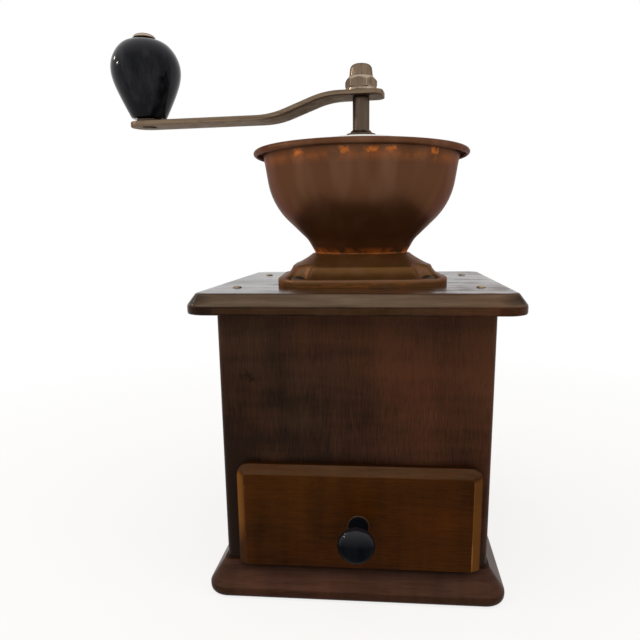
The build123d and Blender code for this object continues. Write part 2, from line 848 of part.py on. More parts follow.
with BuildPart() as click_spring_rivet:
    with BuildSketch(facing_front(rivet_x, 0, 0)):
        Polygon(
            (0, z_bar + rivet_head_height),
            (rivet_crown_radius, z_bar + rivet_head_height),
            (rivet_head_radius, z_bar),
            (rivet_radius, z_bar),
            (rivet_radius, z_bar_bottom - spring_sheet),
            (rivet_head_radius, z_bar_bottom - spring_sheet),
            (rivet_crown_radius, z_bar_bottom - spring_sheet - rivet_head_height),
            (0, z_bar_bottom - spring_sheet - rivet_head_height),
            align=None,
        )
    revolve(axis=Axis((rivet_x, 0, 0), (0, 0, 1)))


# Drawer front: a lip that covers the opening, bevelled on three sides, with a core behind it
def lip_outline(inset, corner):
    """Face of the lip, its foot on local y = 0 and its two upper corners rounded."""
    with BuildSketch() as outline:
        Rectangle(front_width - 2 * inset, front_height - inset, align=(Align.CENTER, Align.MIN))
        fillet(outline.vertices().group_by(Axis.Y)[-1], corner)
    return outline.sketch


lip_face = lip_outline(0, front_corner)
lip_panel = lip_outline(front_bevel_inset, front_panel_corner)
with BuildPart() as drawer_front:
    with BuildSketch(facing_front(drawer_x, lip_back_y, z_front)):
        add(lip_face)
    extrude(amount=front_edge)
    with BuildSketch(facing_front(drawer_x, lip_back_y - front_edge, z_front)):
        add(lip_face)
    with BuildSketch(facing_front(drawer_x, lip_face_y, z_front)):
        add(lip_panel)
    loft(ruled=True)
    with BuildSketch(facing_front(drawer_x, lip_back_y, z_tray)):
        Rectangle(drawer_width - 2 * drawer_side, side_height, align=(Align.CENTER, Align.MIN))
    extrude(amount=-front_core)
    with BuildSketch(facing_front(knob_x, core_face_y, z_knob)):
        Circle(knob_screw_shank + screw_clearance)
    extrude(amount=core_face_y - lip_face_y, mode=Mode.SUBTRACT)

drawer_sides = {}
for name, side in (("drawer_left_side", -1), ("drawer_right_side", 1)):
    with BuildPart() as drawer_side_board:
        with BuildSketch(Plane.XY.offset(z_tray)):
            with Locations((drawer_x + side * drawer_side_x, drawer_middle_y)):
                Rectangle(drawer_side, drawer_length)
        extrude(amount=side_height)
        with BuildSketch(Plane.XY.offset(z_tray)):
            with Locations([place for place in drawer_nail_places if (place[0] - drawer_x) * side > 0]):
                Circle(drawer_nail_shank + screw_clearance)
        extrude(amount=drawer_nail_grip, mode=Mode.SUBTRACT)
    drawer_sides[name] = drawer_side_board

with BuildPart() as drawer_back:
    with BuildSketch(Plane.XY.offset(z_tray)):
        with Locations((drawer_x, lip_back_y + drawer_length - drawer_side / 2)):
            Rectangle(drawer_width - 2 * drawer_side, drawer_side)
    extrude(amount=side_height)

with BuildPart() as drawer_bottom:
    with BuildSketch(Plane.XY.offset(z_drawer)):
        with Locations((drawer_x, drawer_middle_y)):
            Rectangle(drawer_width, drawer_length)
    extrude(amount=drawer_bottom_thickness)
    with Locations([Location((x, y, z_drawer), (180, 0, 0)) for x, y in drawer_nail_places]):
        CounterBoreHole(
            drawer_nail_shank + screw_clearance,
            drawer_nail_head + screw_clearance,
            drawer_nail_head_height,
            depth=drawer_bottom_thickness,
        )

with BuildPart() as drawer_nails:
    with BuildSketch(Plane.XY.offset(z_drawer)):
        with Locations(drawer_nail_places):
            Circle(drawer_nail_head)
    extrude(amount=drawer_nail_head_height)
    with BuildSketch(Plane.XY.offset(z_drawer)):
        with Locations(drawer_nail_places):
            Circle(drawer_nail_shank)
    extrude(amount=drawer_bottom_thickness + drawer_nail_grip)

# Drawer knob: a ball on a short neck with a collar at the wood
neck_end = knob_reach - sqrt(knob_ball_radius**2 - knob_neck_radius**2)
knob_axis = Axis((knob_x, lip_face_y, z_knob), (0, -1, 0))
knob_profile_plane = Plane(origin=(knob_x, lip_face_y, z_knob), x_dir=(1, 0, 0), z_dir=(0, 0, -1))
with BuildPart() as drawer_knob:
    with BuildSketch(knob_profile_plane):
        with BuildLine():
            Polyline(
                (0, knob_reach + knob_ball_radius),
                (0, 0),
                (knob_collar_radius, 0),
                (knob_collar_radius, knob_collar_height),
                (knob_neck_radius, 2 * knob_collar_height),
                (knob_neck_radius, neck_end),
            )
            ThreePointArc(
                (knob_neck_radius, neck_end),
                (knob_ball_radius, knob_reach),
                (0, knob_reach + knob_ball_radius),
            )
        make_face()
    revolve(axis=knob_axis)
    with BuildSketch(facing_front(knob_x, lip_face_y, z_knob)):
        Circle(knob_screw_shank + screw_clearance)
    extrude(amount=knob_screw_grip, mode=Mode.SUBTRACT)

knob_screw_blank = domed_screw(
    knob_screw_head,
    knob_screw_head_height,
    knob_screw_shank,
    core_face_y - lip_face_y + knob_screw_grip,
)
with BuildPart() as knob_screw:
    with Locations(Location((knob_x, core_face_y, z_knob), (-90, 0, 0))):
        add(knob_screw_blank)

pieces = {
    "base_board": base_board,
    **side_walls,
    "front_wall": front_wall,
    "back_wall": back_wall,
    "top_board": top_board,
    "base_screws": base_screws,
    "top_board_nails": top_board_nails,
    "hopper_flange": hopper_flange,
    "flange_screws": flange_screws,
    "hopper_bowl": hopper_bowl,
    "hopper_bridge": hopper_bridge,
    "bridge_bush": bridge_bush,
    "burr_ring": burr_ring,
    "burr_ring_screws": burr_ring_screws,
    "lower_bracket": lower_bracket,
    "bracket_screws": bracket_screws,
    "click_spring": click_spring,
    "click_spring_rivet": click_spring_rivet,
    "thrust_ball": thrust_ball,
    "adjusting_wheel": adjusting_wheel,
    "drive_shaft": drive_shaft,
    "inner_burr": inner_burr,
    "burr_nut": burr_nut,
    "feed_screw": feed_screw,
    "crank_arm": crank_arm,
    "crank_washer": crank_washer,
    "cap_nut": cap_nut,
    "grip_washer": grip_washer,
    "grip_pin": grip_pin,
    "grip": grip,
    "drawer_front": drawer_front,
    **drawer_sides,
    "drawer_back": drawer_back,
    "drawer_bottom": drawer_bottom,
    "drawer_nails": drawer_nails,
    "drawer_knob": drawer_knob,
    "knob_screw": knob_screw,
}

os.makedirs("parts", exist_ok=True)
for label, piece in pieces.items():
    piece.part.label = label
    export_step(piece.part, f"parts/{label}.step")
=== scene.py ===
from functools import partial
from math import asin, atan2, cos, pi, radians, sin, sqrt, tan
from types import SimpleNamespace

import bmesh
import bpy
from mathutils import Matrix, Vector


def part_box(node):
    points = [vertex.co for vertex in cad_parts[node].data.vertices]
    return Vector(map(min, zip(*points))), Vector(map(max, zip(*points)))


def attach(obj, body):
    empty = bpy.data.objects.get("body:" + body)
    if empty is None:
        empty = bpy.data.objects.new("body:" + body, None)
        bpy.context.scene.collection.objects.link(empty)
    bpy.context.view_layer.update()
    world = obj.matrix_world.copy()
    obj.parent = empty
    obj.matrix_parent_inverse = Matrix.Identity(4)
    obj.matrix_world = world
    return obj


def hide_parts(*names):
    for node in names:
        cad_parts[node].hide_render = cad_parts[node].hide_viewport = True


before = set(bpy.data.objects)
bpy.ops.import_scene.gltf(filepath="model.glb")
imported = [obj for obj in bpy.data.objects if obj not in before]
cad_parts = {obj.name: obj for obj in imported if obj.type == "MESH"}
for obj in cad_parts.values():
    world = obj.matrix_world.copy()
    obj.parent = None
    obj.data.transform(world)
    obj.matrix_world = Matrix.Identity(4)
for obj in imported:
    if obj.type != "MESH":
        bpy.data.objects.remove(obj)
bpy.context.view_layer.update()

bl_info = {
    "name": "Box coffee mill",
    "version": (1, 0, 0),
    "blender": (4, 5, 0),
    "location": "View3D > Sidebar > Mill",
    "description": "Dresses the frame of a hand crank coffee mill with its boards, copper and steel",
    "category": "Add Mesh",
}

# Shapes are worked out in millimetres and scaled once, where a mesh is made.
MM = 0.001
# Room between a piece and the hole that it passes through, in millimetres.
CLEARANCE = 0.05


def linear(code):
    """Linear RGBA of an sRGB hex colour."""
    channels = [int(code[start : start + 2], 16) / 255 for start in (0, 2, 4)]
    return tuple(c / 12.92 if c <= 0.04045 else ((c + 0.055) / 1.055) ** 2.4 for c in channels) + (1.0,)


# Dark of the pores in the wood, also used to paint shade where the rubbed value drops below 0
GRIME_AND_SHADE = linear("120a06")


def number(description, default, **kind):
    """A number in the sidebar, of a kind with its own unit where one is given."""
    return partial(bpy.props.FloatProperty, description=description, default=default, **kind)


def numbers(description, default, **kind):
    """A row of numbers in the sidebar."""
    row = partial(bpy.props.FloatVectorProperty, size=len(default), **kind)
    return partial(row, description=description, default=default)


def length(description, millimetres):
    """A size that the sidebar shows as a length."""
    return number(description, millimetres * MM, unit="LENGTH", precision=4)


def angle(description, degrees):
    """A turn that the sidebar shows as an angle."""
    return number(description, radians(degrees), subtype="ANGLE")


def tint(description, code):
    """A colour given as sRGB hex and kept as linear."""
    return numbers(description, linear(code), subtype="COLOR", min=0, max=1)


def named(group):
    """Completes a group's properties, each named after its attribute."""
    for key, waiting in group.__annotations__.items():
        group.__annotations__[key] = waiting(name=key.replace("_", " ").capitalize())
    return group


@named
class CaseProperties(bpy.types.PropertyGroup):
    base_corner: length("Corner radius of the base board", 9.0)
    base_top_corner: length("Corner radius where the base meets the walls", 3.0)
    base_edge: length("Height of the base board's upright edge", 5.0)
    base_bevel: length("Run of the slope above the base board's edge", 7.0)
    foot_round: length("Rounding under the base board's edge", 3.2)
    top_corner: length("Corner radius of the top board", 9.0)
    top_inner_corner: length("Corner radius inside the top board's bevel", 5.5)
    top_edge: length("Height of the top board's upright edge", 3.6)
    top_bevel: length("Run of the top board's bevel", 3.7)
    grimed_corner: length("Reach of the grime from the top board's corners", 13.0)
    throat: length("Radius of the hole through the top board", 24.0)
    wall: length("Thickness of the case's walls", 9.0)
    wall_round: length("Rounding of the case's upright corners", 3.2)
    opening: length("Height of the drawer's opening", 40.0)
    dark_stain: tint("Darkest tone of the stained walls", "22120a")
    light_stain: tint("Lightest tone of the stained walls", "4c2b1a")
    dark_grey_stain: tint("Darkest tone where the stain took greyer", "1d130d")
    light_grey_stain: tint("Lightest tone where the stain took greyer", "3f2c20")
    dark_board: tint("Darkest tone of the base and top boards", "291810")
    light_board: tint("Lightest tone of the base and top boards", "462b1f")
    worn_wood: tint("Wood that shows where the lacquer is rubbed off", "7d5a36")


@named
class DrawerProperties(bpy.types.PropertyGroup):
    lip_edge: length("Thickness of the drawer front at its edge", 3.0)
    lip_bevel: length("Width of the bevel round the front's panel", 3.9)
    lip_corner: length("Radius of the front's upper corners", 5.5)
    panel_corner: length("Radius of the panel's upper corners", 1.8)
    core_side: length("Step from the lip's side to the core behind it", 10.8)
    core_foot: length("Step from the lip's foot up to the core", 2.7)
    core_depth: length("How far the core reaches behind the lip", 7.0)
    core_height: length("Height of the core", 33.2)
    ball: length("Radius of the knob's ball", 7.55)
    ball_depth: length("Half of the flattened ball's depth", 5.0)
    neck: length("Radius of the knob's neck", 4.2)
    collar: length("Radius of the knob's collar", 4.6)
    dark_front: tint("Darkest tone of the drawer's front", "230e02")
    light_front: tint("Lightest tone of the drawer's front", "432005")
    dark_golden_front: tint("Darkest tone where the front is yellower", "261203")
    light_golden_front: tint("Lightest tone where the front is yellower", "402407")
    # Paler wood of the side bevels: rubbed wood, and painted light where light falls on the bevels
    worn_front: tint("Wood on the front's rubbed bevels", "a06a2c")
    bare_wood: tint("Unstained wood of the drawer's box", "a9814f")


@named
class HopperProperties(bpy.types.PropertyGroup):
    flange_corner: length("Corner radius of the flange's lip", 20.0)
    flange_neck: length("Wall between the flange's neck and the bowl's spigot", 1.0)
    flange_turn: angle("Turn of the flange on the board", 4.5)
    dimple: length("Radius of the pockets for the flange's screws", 4.2)
    dimple_floor: length("Height of the pockets' floor above the board", 2.6)
    screw_circle: length("Radius of the circle that the flange's screws stand on", 41.0)
    sheet: length("Thickness of the bowl's copper", 0.9)
    spigot: length("Inside radius of the bowl's foot", 21.5)
    neck_flare: length("How far the bowl's neck widens above its foot", 3.4)
    neck_height: length("Height of the neck above the flange", 7.0)
    belly: length("Inside radius at the turn of the bowl", 41.7)
    belly_height: length("Height of that turn above the flange", 23.2)
    mouth: length("Inside radius under the rim", 44.3)
    mouth_height: length("Height of that place above the flange", 40.2)
    rim_height: length("Height above the flange where the rim starts to roll", 45.6)
    bead: length("Half the width of the rolled rim", 2.6)
    bead_rise: length("Half the height of the rolled rim", 1.7)
    # Painted glints: bright copper at these headings stands in for lamps reflected under the rim
    glints: numbers("Headings of the bright places under the rim, degrees", (-122.5, -96.5, -82, -72, -45))
    copper: tint("Browned copper of the bowl", "5a3b29")
    # Painted reflection: the bowl is darker low down, where it reflects the dark board beneath
    dark_copper: tint("Patina low on the bowl", "553720")
    # Painted reflections and highlights: pale upright streaks on the copper, and the flange's lit pocket
    # rims and lip edge
    pale_copper: tint("Copper where its polish held in streaks", "7d5c49")
    # Painted glints: bright copper stands in for lamps reflected under the rim, at the foot and along the
    # flange's lip
    bright_copper: tint("Copper kept bright under the rim and at the foot", "cf7430")
    flange_copper: tint("Browned sheet of the flange", "624425")
    # The flange darkens towards its bottom
    dark_flange_copper: tint("Patina in the flange's hollows", "4c321d")


@named
class CrankProperties(bpy.types.PropertyGroup):
    shaft: length("Radius of the drive shaft", 3.9)
    stud: length("Radius of the shaft's stud under the nut", 2.85)
    bush_spigot: length("Radius of the bush's spigot in the bridge", 5.4)
    bush_flare: length("Radius of the bush's flare on the bridge", 6.9)
    heading: angle("Direction of the arm, anticlockwise from +X", 174)
    reach: length("From the shaft to the grip's pin", 106.8)
    eye: length("How far the arm reaches past the shaft", 10.5)
    eye_corner: length("Corner radius of the arm's end at the shaft", 4.5)
    tip: length("How far the arm reaches past the pin", 9.2)
    arm_width: length("Width of the arm's strip", 16.5)
    arm_thickness: length("Thickness of the arm's strip", 2.3)
    joggle_start: length("From the shaft to the arm's first bend", 15.4)
    joggle_run: length("Length of the slope between the bends", 26.0)
    upper_bend: length("Radius of the arm's bend near the shaft", 38.0)
    lower_bend: length("Radius of the arm's other bend", 44.0)
    nut_flats: length("Size of the cap nut across its flats", 13.0)
    nut_turn: angle("Turn of the cap nut", -7)
    hexagon: length("Height of the nut's hexagon", 5.2)
    chamfer: length("Height of the cone that cuts the hexagon's upper corners", 2.1)
    dome: length("Radius of the nut's dome", 5.15)
    dome_round: length("Rounding of the dome's top edge", 2.5)
    grip_bore: length("Radius of the hole through the grip", 3.1)
    grip_foot: length("Radius under the grip", 8.3)
    grip_flank: length("Radius a third of the way up the grip", 14.0)
    flank_height: length("Height of that place above the grip's foot", 12.0)
    grip_belly: length("Widest radius of the grip", 16.4)
    belly_height: length("Height of that place above the grip's foot", 25.0)
    grip_crown: length("Radius of the grip's flat top", 7.0)
    pin: length("Radius of the pin that the grip turns on", 3.0)
    pin_tail: length("Radius of the pin's riveted end under the arm", 3.7)
    steel: tint("Worn steel of the arm", "7d6a57")
    dark_steel: tint("Tarnish on the steel", "3d3128")
    # Pale steel of rubbed edges, also used for painted highlights on the nut and the pin's head
    bright_steel: tint("Steel on rubbed edges", "c4b39e")
    nut: tint("Turned steel of the cap nut", "7d6b5a")
    round_steel: tint("Oiled steel of the drive shaft", "5e5044")
    tin: tint("Bright tinned strip across the bowl", "f4f2ee")
    dull_tin: tint("Tin where it has gone dull", "cbc6bc")
    iron: tint("Oiled cast iron of the burrs", "3c3834")
    black_lacquer: tint("Lacquer of the grip and the knob", "0a0c11")
    rubbed_lacquer: tint("Where the black lacquer has worn thin", "4a3a2e")


@named
class StageProperties(bpy.types.PropertyGroup):
    floor: tint("Colour of the floor", "f0eeea")
    sky: number("Strength of the light from all round", 0.45)
    side_lamps: number("Power of each lamp at the sides", 4.5, unit="POWER")
    front_lamp: number("Power of the lamp above the front", 5.0, unit="POWER")
    bulbs: number("Power of the small bulbs that sparkle in the gloss", 0.4, unit="POWER")
    lens: number("Focal length on a 36 mm sensor", 34.5)
    camera_place: numbers("Where the camera stands", (0.0145, -0.30405, 0.15933), subtype="TRANSLATION")
    yaw: angle("How far the camera looks to the left", 5.143)
    pitch: angle("How far the camera looks down", 12.029)
    roll: angle("Tilt of the camera about its view", -0.507)
    shift: numbers("Shift of the frame", (-0.0247, 0.0632))


def measured(group):
    """A group's settings under their own names, with its lengths in millimetres."""
    found = SimpleNamespace()
    for key in group.__annotations__:
        value = getattr(group, key)
        setattr(found, key, value / MM if group.bl_rna.properties[key].unit == "LENGTH" else value)
    return found


def cad(node):
    """Lowest and highest corners of a CAD node, in millimetres."""
    low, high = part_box(node)
    return low / MM, high / MM


def shares(count):
    """Equal steps from just above 0 up to 1."""
    return [step / count for step in range(1, count + 1)]


def polar(radius, heading):
    """The flat point at that distance and heading from the origin."""
    return Vector((radius * cos(heading), radius * sin(heading)))


def spaced(corners, counts):
    """A closed run of corners with each side divided into so many equal parts."""
    corners = [Vector(corner) for corner in corners]
    points = []
    for start, end, count in zip(corners, corners[1:] + corners[:1], counts):
        points += [start.lerp(end, step / count) for step in range(count)]
    return points


def arc(centre, radius, quarter, steps):
    """Points of a quarter circle, anticlockwise from the start of that quarter."""
    return [Vector(centre) + polar(radius, (quarter + step / steps) * pi / 2) for step in range(steps + 1)]


def rounded_ring(half_x, half_y, corner, arc_steps=8, side_steps=12):
    """Points of a rounded rectangle about the origin, anticlockwise from its right side."""
    arcs = []
    for quarter, (x, y) in enumerate(((1, 1), (-1, 1), (-1, -1), (1, -1))):
        arcs += arc((x * (half_x - corner), y * (half_y - corner)), corner, quarter, arc_steps)
    return spaced(arcs, ([1] * arc_steps + [side_steps]) * 4)


def round_ring(radius, like):
    """Points of a circle in the same directions as another ring's points."""
    return [radius * point.normalized() for point in like]


def lifted(ring, z, centre=(0, 0)):
    """A flat ring as points at that height."""
    return [(point.x + centre[0], point.y + centre[1], z) for point in ring]


def stood_up(ring, y):
    """A flat ring stood upright at that depth: its x stays and its y becomes the height."""
    return [(point.x, y, point.y) for point in ring]


def drawn_in(ring, amount):
    """An anticlockwise ring moved inwards by that much, with its corners mitred."""
    moved = []
    for before, point, after in zip(ring[-1:] + ring[:-1], ring, ring[1:] + ring[:1]):
        first, second = (side.normalized().orthogonal() for side in (point - before, after - point))
        moved.append(point + amount * (first + second) / (1 + first.dot(second)))
    return moved


def directed(points):
    """Each point of a line with the line's direction there."""
    for before, point, after in zip(points[:1] + points[:-1], points, points[1:] + points[-1:]):
        yield point, (after - before).normalized()


def filleted(corners, radii, spacing, arc_step):
    """Points along straight runs joined by arcs of those radii."""
    corners = [Vector(corner) for corner in corners]
    points = [corners[0]]

    def run_to(end):
        start = points[-1]
        count = max(1, round((end - start).length / spacing))
        points.extend(start.lerp(end, share) for share in shares(count))

    for before, corner, after, radius in zip(corners, corners[1:], corners[2:], radii):
        first, second = (corner - before).normalized(), (after - corner).normalized()
        turn = atan2(first.x * second.y - first.y * second.x, first.dot(second))
        run_to(corner - radius * tan(abs(turn) / 2) * first)
        arm = (radius if turn > 0 else -radius) * Vector((first.y, -first.x))
        centre = points[-1] - arm
        parts = shares(max(2, round(abs(turn) / arc_step)))
        points += [centre + Matrix.Rotation(turn * share, 2) @ arm for share in parts]
    run_to(corners[-1])
    return points


def smooth_line(points, start_slope, end_slope, steps):
    """Points of a smooth curve through all the given ones, with its directions set at both ends."""
    points = [Vector(point) for point in points]
    spans = [(b - a).length for a, b in zip(points, points[1:])]
    slopes = [Vector((0, 0)) for _ in points]
    slopes[0], slopes[-1] = Vector(start_slope).normalized(), Vector(end_slope).normalized()
    for _ in range(60):
        for i in range(1, len(points) - 1):
            before, after = spans[i - 1], spans[i]
            rise, run = points[i] - points[i - 1], points[i + 1] - points[i]
            pull = 3 * (after * rise / before + before * run / after)
            slopes[i] = (pull - after * slopes[i - 1] - before * slopes[i + 1]) / (2 * (before + after))
    line = [points[0]]
    for i, span in enumerate(spans):
        for t in shares(steps):
            ends = points[i] * (2 * t**3 - 3 * t**2 + 1) + points[i + 1] * (3 * t**2 - 2 * t**3)
            line.append(ends + span * (slopes[i] * (t**3 - 2 * t**2 + t) + slopes[i + 1] * (t**3 - t**2)))
    return line


def placed(name, data):
    """A new object in the scene."""
    made = bpy.data.objects.new(name, data)
    bpy.context.scene.collection.objects.link(made)
    return made


def skinned(name, rows, finish, loop=False, sharp=34):
    """A closed piece skinned through rows, smooth but for its sharp edges.

    A row is a ring of points and how worn they are, together or one by one, kept as an attribute; it also
    carries painted light and painted shade."""
    shape = bmesh.new()
    # High values paint highlights and values below 0 paint shade, besides real rubbing
    rubbed = shape.verts.layers.float.new("wear")
    made = []
    for ring, worn in rows:
        made.append([shape.verts.new(Vector(point) * MM) for point in ring])
        for index, vert in enumerate(made[-1]):
            vert[rubbed] = worn[index] if isinstance(worn, list) else worn
    for lower, upper in zip(made, made[1:] + made[:1] if loop else made[1:]):
        for index in range(max(len(lower), len(upper))):
            here, ahead = ([row[step % len(row)] for row in (lower, upper)] for step in (index, index + 1))
            corners = list(dict.fromkeys((here[0], ahead[0], ahead[1], here[1])))
            if len(corners) > 2:
                shape.faces.new(corners)
    for end in () if loop else (made[0], made[-1]):
        if len(end) > 2:
            shape.faces.new(end)
    bmesh.ops.recalc_face_normals(shape, faces=shape.faces)
    mesh = bpy.data.meshes.new(name)
    shape.to_mesh(mesh)
    shape.free()
    mesh.polygons.foreach_set("use_smooth", [True] * len(mesh.polygons))
    mesh.set_sharp_from_angle(angle=radians(sharp))
    mesh.materials.append(bpy.data.materials[finish])
    return placed(name, mesh)


def turned(name, profile, finish, place=Matrix(), steps=96, loop=False, sharp=34):
    """A piece turned about the local Z axis of that place, from a profile of radii, heights and how worn
    each is, painted light and shade included.
    """
    rows = []
    for radius, height, worn in profile:
        turns = [2 * pi * step / steps for step in range(steps if radius > 0 else 1)]
        rows.append(([place @ Vector((*polar(radius, turn), height)) for turn in turns], worn))
    return skinned(name, rows, finish, loop, sharp)


def seated(piece, body, slot, *nodes):
    """Puts a piece on its body, in place of the CAD nodes that it stands for."""
    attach(piece, body)
    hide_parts(*nodes)


def refinished(finish, *nodes):
    """Gives CAD nodes a finish of this script."""
    for name in nodes:
        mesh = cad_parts[name].data
        mesh.materials.clear()
        mesh.materials.append(bpy.data.materials[finish])


def plugged(made, links):
    """Links or sets a node's inputs, given in order, by number or by name.

    In order, Map Range takes a value, the range it comes from and the range it becomes. By number, Mix takes
    its share at 0 and its two colours at 6 and 7."""
    for socket, value in links.items() if isinstance(links, dict) else enumerate(links):
        if isinstance(value, bpy.types.NodeSocket):
            made.id_data.links.new(value, made.inputs[socket])
        else:
            made.inputs[socket].default_value = value


def node(tree, kind, links=(), out=0, stops=(), **settings):
    """Adds a node with its settings, inputs and ramp stops, and returns one output, or all for None."""
    made = tree.nodes.new(kind if "Node" in kind else "ShaderNode" + kind)
    for key, value in settings.items():
        setattr(made, key, value)
    plugged(made, links)
    for element, (position, colour) in zip(made.color_ramp.elements if stops else (), stops):
        element.position = position
        element.color = colour
    return made.outputs if out is None else made.outputs[out]


def begun(name):
    """A new material: a way to add nodes to it, its shader and the piece's own coordinates."""
    finish = bpy.data.materials.new(name)
    finish.use_nodes = True
    add = partial(node, finish.node_tree)
    return add, finish.node_tree.nodes["Principled BSDF"], add("TexCoord", out="Object")


def grained(add, place, sizes, detail, roughness=0.5, shift=(0, 0, 0)):
    """Noise with features of those sizes in millimetres along X, Y and Z."""
    scale = [1 / (size * MM) for size in sizes]
    moved = add("Mapping", {"Vector": place, "Location": shift, "Scale": scale})
    return add("TexNoise", {"Vector": moved, "Scale": 1.0, "Detail": detail, "Roughness": roughness})


def coated(add, colour, coats):
    """A colour under coats of other colours, each by its own share."""
    for share, coat in coats:
        colour = add("Mix", {0: share, 6: colour, 7: coat}, 2, data_type="RGBA")
    return colour


def shaded(colour, share):
    """A darker tone of a colour."""
    return tuple(channel * share for channel in colour[:3]) + (1.0,)


def lacquered_wood(name, tones, grain, gloss, sheen, seed, painted_sheen=0, veil="9c8b78", lean=(0, 0, 0)):
    """Beech, stained dark and lacquered: short flecks along the grain and a faint ripple across it.

    The stain lies in soft clouds of a redder and a greyer tone, the pores are dark, and rubbed edges show
    paler wood; a rubbed value above 1 also paints light on bevels that catch it, and one below 0 darkens
    corners and paints the shade under overhangs. A painted sheen veils faces that slant upwards, for the
    light reflected from above. The tone may lean paler to the right and upwards, by so much per metre, from
    a level of its own, and the polish may vary between two sheens."""
    reds, greys, worn = tones
    add, shader, place = begun(name)
    right, _, up = add("SeparateXYZ", (place,), None)

    def streaks(along, across, detail, offset):
        sizes = [along if axis == grain else across for axis in "XYZ"]
        return grained(add, place, sizes, detail, shift=(offset + seed, offset, offset - seed))

    flecks = streaks(8, 0.6, 2.0, 0.0)
    broad = streaks(130, 17, 2.0, 5.0)
    ripple = streaks(8, 44, 2.0, 11.0)
    ticks = streaks(2.4, 0.4, 1.0, 14.0)
    clouds = streaks(75, 52, 1.5, 9.0)
    tone = 0.03 + lean[2]
    for pattern, weight in ((broad, 0.4), (ripple, 0.34), (flecks, 0.3), (up, lean[1]), (right, lean[0])):
        tone = add("Math", (pattern, weight, tone), operation="MULTIPLY_ADD")
    tone = add("MapRange", (tone, 0.4, 0.72))
    red, grey = (add("ValToRGB", (tone,), stops=((0, dark), (1, light))) for dark, light in (reds, greys))
    drift = add("Math", (right, -lean[0], clouds), operation="MULTIPLY_ADD")
    coats = [(add("MapRange", (drift, 0.25, 0.75)), grey)]
    coats.append((add("MapRange", (ticks, 0.64, 0.76, 0, 0.5)), GRIME_AND_SHADE))

    rubbed = add("Attribute", out="Fac", attribute_name="wear")
    chips = grained(add, place, [3.5] * 3, 5.0, 0.65)
    whole = add("MapRange", (rubbed, 1.0, 1.08, 1.0, 0.0))
    chipped = add("Math", (rubbed, whole), operation="MULTIPLY")
    chipped = add("Math", (chipped, chips), operation="MULTIPLY")
    chipped = add("MapRange", (chipped, 0.56, 0.74, 0, 0.7))
    # Above 1 the rubbed value paints paler wood: rubbed edges, and painted light on the drawer's lit side
    # bevels
    paler = add("Math", (rubbed, 1.0), operation="SUBTRACT")
    coats.append((add("Math", (chipped, paler), operation="MAXIMUM"), worn))
    # Painted sheen: a pale veil on faces that slant upwards stands in for light reflected from above
    if painted_sheen:
        facing = add("SeparateXYZ", (add("TexCoord", out="Normal"),), "Z")
        off = add("Math", (facing, 0.58), operation="SUBTRACT")
        off = add("Math", (off,), operation="ABSOLUTE")
        painted_sheen_share = add("MapRange", (off, 0.1, 0.4, painted_sheen, 0.0))
        uneven = add("MapRange", (streaks(26, 2.2, 3.0, 17.0), 0.3, 0.7, 0.6, 1.4))
        coats.append((add("Math", (painted_sheen_share, uneven), operation="MULTIPLY"), linear(veil)))
    # Below 0 the rubbed value darkens: painted shadow under the drawer's overhang on the base, painted shade
    # on the drawer lip's top edge, and darker corners of the top board
    coats.append((add("MapRange", (rubbed, 0.0, -1.0, 0, 0.9)), GRIME_AND_SHADE))

    if isinstance(sheen, tuple):
        patches = add("Math", (right, -lean[0], streaks(14, 9, 5.0, 21.0)), operation="MULTIPLY_ADD")
        sheen = add("MapRange", (patches, 0.34, 0.62, *sheen))
    plugged(shader, {
        "Base Color": coated(add, red, coats),
        "Roughness": add("MapRange", (clouds, 0.3, 0.7, gloss, gloss + 0.12)),
        "Specular IOR Level": sheen,
        "Normal": add("Bump", {"Strength": 0.3, "Distance": 0.00006, "Height": flecks}),
    })
    return add, shader, place


def scuffed(add, shader, place, spot, size):
    """Adds one dark, ragged scuff to a finish, at that spot of the piece."""
    away = add("VectorMath", (place, spot), "Value", operation="DISTANCE")
    ragged = grained(add, place, [2.6] * 3, 4.0, 0.7)
    edge = add("Math", (ragged, 4 * size * MM, away), operation="MULTIPLY_ADD")
    mark = add("MapRange", (edge, 1.9 * size * MM, 2.6 * size * MM, 0.8, 0.0))
    under = shader.inputs["Base Color"].links[0].from_socket
    plugged(shader, {"Base Color": coated(add, under, [(mark, linear("150b08"))])})


def bare_wood(name, pale):
    """Planed wood with no stain, as on a drawer's box: pale, dull, with fine straight grain."""
    add, shader, place = begun(name)
    grain = grained(add, place, (1.4, 40, 1.4), 4.0)
    plugged(shader, {
        "Base Color": add("ValToRGB", (grain,), stops=((0.3, shaded(pale, 0.45)), (0.7, pale))),
        "Roughness": 0.65,
        "Normal": add("Bump", {"Strength": 0.3, "Distance": 0.0001, "Height": grain}),
    })


